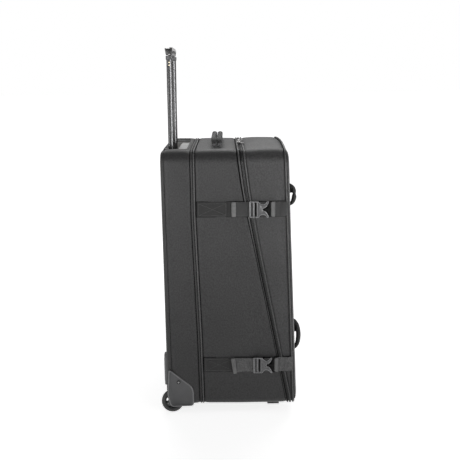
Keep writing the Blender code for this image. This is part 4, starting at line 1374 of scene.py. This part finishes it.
def make_wheel(name):
    low, high = cad("tyre_" + name)
    centre = (low + high) / 2
    radius, half = (high[0] - low[0]) / 2, (high[1] - low[1]) / 2
    body = "wheel_" + name

    def mirrored(profile):
        """(radius, y) points of one side and their mirror; y is measured inward from the side."""
        return [(r, -half + y) for r, y in profile] + [(r, half - y) for r, y in reversed(profile)]

    flank = mirrored([(21.4, 1.5), (24.0, 0.4), (26.0, 0.0), (28.0, 0.9), (29.4, 3.2), (radius, 6.5)])
    groove = [(radius, -1.6), (radius - 0.9, -0.8), (radius - 0.9, 0.8), (radius, 1.6)]
    tread = turned(Solids(), flank[:6] + groove + flank[6:], centre)
    tread.make("tyre_%s_tread" % name, "tyre", body, "tyre", 30.0, "tyre_" + name)
    hub = turned(Solids(), mirrored([(17.8, 4), (18.4, 2.2), (20.6, 1.6), (21.3, 2.4)]), centre)
    turned(hub, mirrored([(3.35, 1), (6.6, 1), (7.4, 2)]), centre, 32)
    spokes = 6
    for k in range(spokes):
        angle = 2 * math.pi * k / spokes + 0.3
        out = np.array((math.cos(angle), math.sin(angle)))
        across = np.array((-out[1], out[0]))
        rings = []
        for r, wide, deep in ((6.4, 2.3, half - 2.4), (12.0, 1.5, half - 4.0), (18.8, 2.1, half - 3.2)):
            ring = []
            for a, b in rounded_polygon(rectangle(-wide, wide, -deep, deep), 0.9, 3):
                x, z = (centre[n] + out[m] * r + across[m] * a for n, m in ((0, 0), (2, 1)))
                ring.append((x, centre[1] + b, z))
            rings.append(ring)
        hub.rings(rings)
    hub.make("hub_%s_spokes" % name, "hub", body, "dark_plastic", 40.0, "hub_" + name)


def make_corner_guard(name, side):
    node = "corner_guard_" + name
    soft = rounded_polygon([(-178, 128), (-116, 78), (-111, 64), (-111, 22), (-174, 20), (-183, 53)], 9.0, 6)
    profile = ((0.0, 0.3), (0.0, 2.2), (0.5, 3.4), (1.6, 4.2), (3.0, 4.3), (4.0, 3.7), (4.8, 3.1))
    rings = [[(x, side * (HALF_WIDTH + out), z) for x, z in offset(soft, inset)] for inset, out in profile]
    # the rounded rim takes the lighter copy, a painted highlight
    guard = Solids().rings(rings, marks=(0, 1, 1, 1, 0, 0))
    guard.make(node + "_moulding", ["guard", "guard_edge"], "case", "moulded_plastic", 60.0, node)
    x, z = -152, 90                              # the guard's screw
    place = side_place(side)
    screw, slot = Solids(), Solids()
    for radius, start, end in ((5.4, 3.0, 3.9), (3.6, 3.0, 4.4)):
        plate(screw, circle((x, z), radius, 24), start, end, place, 0.5)
    screw.make("guard_screw_" + name, "dark", "case", "screw_steel", 40.0)
    for turn in (0.35, 0.35 + math.pi / 2):
        a, b = 2.6 * math.cos(turn), 2.6 * math.sin(turn)
        c, d = -0.5 * math.sin(turn), 0.5 * math.cos(turn)
        corners = [(x - a - c, z - b - d), (x + a - c, z + b - d), (x + a + c, z + b + d),
                   (x - a + c, z - b + d)]
        plate(slot, corners, 4.2, 4.55, place, 0.1)
    slot.make("guard_screw_drive_" + name, "steel", "case", "screw_steel")


def make_wheel_housing(name, side):
    """Softened edges of the bracket, and the lip behind the wheel."""
    low, high = cad("wheel_bracket_" + name)
    soften(frame["nodes"]["wheel_bracket_" + name], 0.0009, 2)
    y0, y1 = sorted((side * (abs(low[1] + high[1]) / 2 - 18.0), side * (HALF_WIDTH - 1.0)))
    outline = [(low[0] - 3.2, high[2] - 2.0), (low[0] - 3.2, high[2] + 16.0), (low[0] - 0.2, high[2] + 18.0),
               (low[0] + 2.0, high[2] + 1.0), (low[0] + 6.0, high[2] - 1.0)]
    lip = plate(Solids(), rounded_polygon(outline, 1.5), y0, y1, across_case, 0.8)
    lip.make("wheel_lip_" + name, "guard", "case", "moulded_plastic", 50.0)


def make_skids():
    """Strips that the case slides on: up the back, and on the lid's lower corners."""
    def place(y, z, depth):
        return (float(back_x(z)) - depth, y, z)

    outline = [(206, 76), (236, 76), (236, 150), (232, 164), (210, 164), (206, 150)]
    for name, side in SIDES:
        strip = plate(Solids(), rounded_polygon([(side * y, z) for y, z in outline], 5.0), 0.2, 8.0, place,
                      2.0)
        for y in (213.0, 221.0, 229.0):
            rib = rounded_polygon(rectangle(side * (y - 1.4), side * (y + 1.4), 86, 152), 1.2)
            plate(strip, rib, 7.2, 8.8, place)
        # the skid takes the lighter copy, painted light where it sits in shade
        strip.make("rear_skid_" + name, "guard_edge", "case", "moulded_plastic", 50.0)
        make_lid_skid(name)


def make_lid_skid(name):
    node = "lid_skid_" + name
    low, high = cad(node)
    rings = []
    for t in np.linspace(0, 1, 22):
        y = low[1] + (high[1] - low[1]) * t
        end = min(1.0, 4.5 * min(t, 1 - t) + 0.25)
        ring = []
        for u in np.linspace(0, 1, 16):
            z = low[2] + (high[2] - low[2]) * u
            rise = 1.6 + 4.6 * end * math.sin(math.pi * min(1.0, u * 1.25) ** 0.8 * 0.8)
            ring.append((float(front_x(z)) + rise, y, z))
        ring += [(float(front_x(z)) + 0.6, y, z) for z in (high[2], low[2])]
        rings.append(ring)
    Solids().rings(rings).make(node + "_bumper", "guard", "lid", "moulded_plastic", 50.0, node=node)


def make_sliders():
    for name, side in SIDES:
        low, high = cad("zip_slider_" + name)
        centre = (low + high) / 2
        solids = Solids()
        wide, long = (high[0] - low[0]) / 2, (high[1] - low[1]) / 2
        outline = [(-wide, -long * 0.7), (-wide * 0.55, -long), (wide * 0.55, -long), (wide, -long * 0.7),
                   (wide * 0.8, long * 0.8), (wide * 0.4, long), (-wide * 0.4, long),
                   (-wide * 0.8, long * 0.8)]
        shape = rounded_polygon([(centre[0] + a, centre[1] + side * b) for a, b in outline], 2.0)
        plate(solids, shape, low[2], low[2] + 2.4, along_axes, 0.7)
        bridge = smooth_path([(-6.5, 1.5), (-5.5, 5.0), (-1.5, 6.4), (3.5, 5.6), (6.5, 1.5)], 18)

        def over(a, b, depth):
            return (centre[0] + b, centre[1] + side * a, low[2] + depth)

        ribbon(solids, bridge, 2.4, 1.2, over)
        solids.make("zip_slider_%s_body" % name, "zip_metal", "slider_" + name, "zip_metal", 40.0,
                    node="zip_slider_" + name)
        p_low, p_high = cad("zip_puller_" + name)
        near = p_low[1] if side > 0 else p_high[1]
        length = p_high[1] - p_low[1]
        z_mid = (p_low[2] + p_high[2]) / 2
        outline = [(-2.6, -1.0), (2.6, -1.0), (3.4, 6.0), (5.4, length * 0.6), (4.6, length), (-4.0, length),
                   (-4.8, length * 0.6), (-3.0, 6.0)]
        puller = Solids()
        skew = 0.3
        shape = rounded_polygon([(centre[0] + a + skew * b, near + side * b) for a, b in outline], 1.8)
        plate(puller, shape, z_mid - 1.0, z_mid + 1.0, along_axes)
        hole = circle((centre[0] + skew * (length - 6), near + side * (length - 6)), 2.6, 24)
        plate(puller, hole, z_mid - 1.3, z_mid + 1.3, along_axes, 0.3)
        puller.make("zip_puller_%s_tab" % name, "zip_metal", "puller_" + name, "zip_metal", 40.0,
                    node="zip_puller_" + name)


# ---------------------------------------------------------------- CAD pieces that stay

def finish_cad_nodes():
    kept = {
        "trolley_cover_panel": "lining", "handle_recess_tray": "recess", "tube_foot": "tube",
        "outer_tube_left": "aluminium", "outer_tube_right": "aluminium",
        "wheel_bracket_left": "guard", "wheel_bracket_right": "guard",
        "axle_left": "steel", "axle_right": "steel", "front_foot_left": "rubber", "front_foot_right": "rubber",
    }
    for node, look in kept.items():
        obj = frame["nodes"][node]
        obj.data.materials.clear()
        obj.data.materials.append(LOOKS[look])
    for node in ("front_foot_left", "front_foot_right", "handle_recess_tray"):
        soften(frame["nodes"][node], 0.0012, 3)


def main():
    make_camera()
    make_studio()
    for make in (make_rear_pan, make_mid_frame, make_lid_shell, make_front_panel, make_seam_binding, make_zip,
                 make_zip_flap, make_lid_piping, make_hinge_gusset, make_straps, make_top_handles,
                 make_top_anchors, make_front_handles, make_trolley, make_recess):
        make()
    for name, side in SIDES:
        make_wheel(name)
        make_corner_guard(name, side)
        make_wheel_housing(name, side)
    make_skids()
    make_sliders()
    finish_cad_nodes()


main()
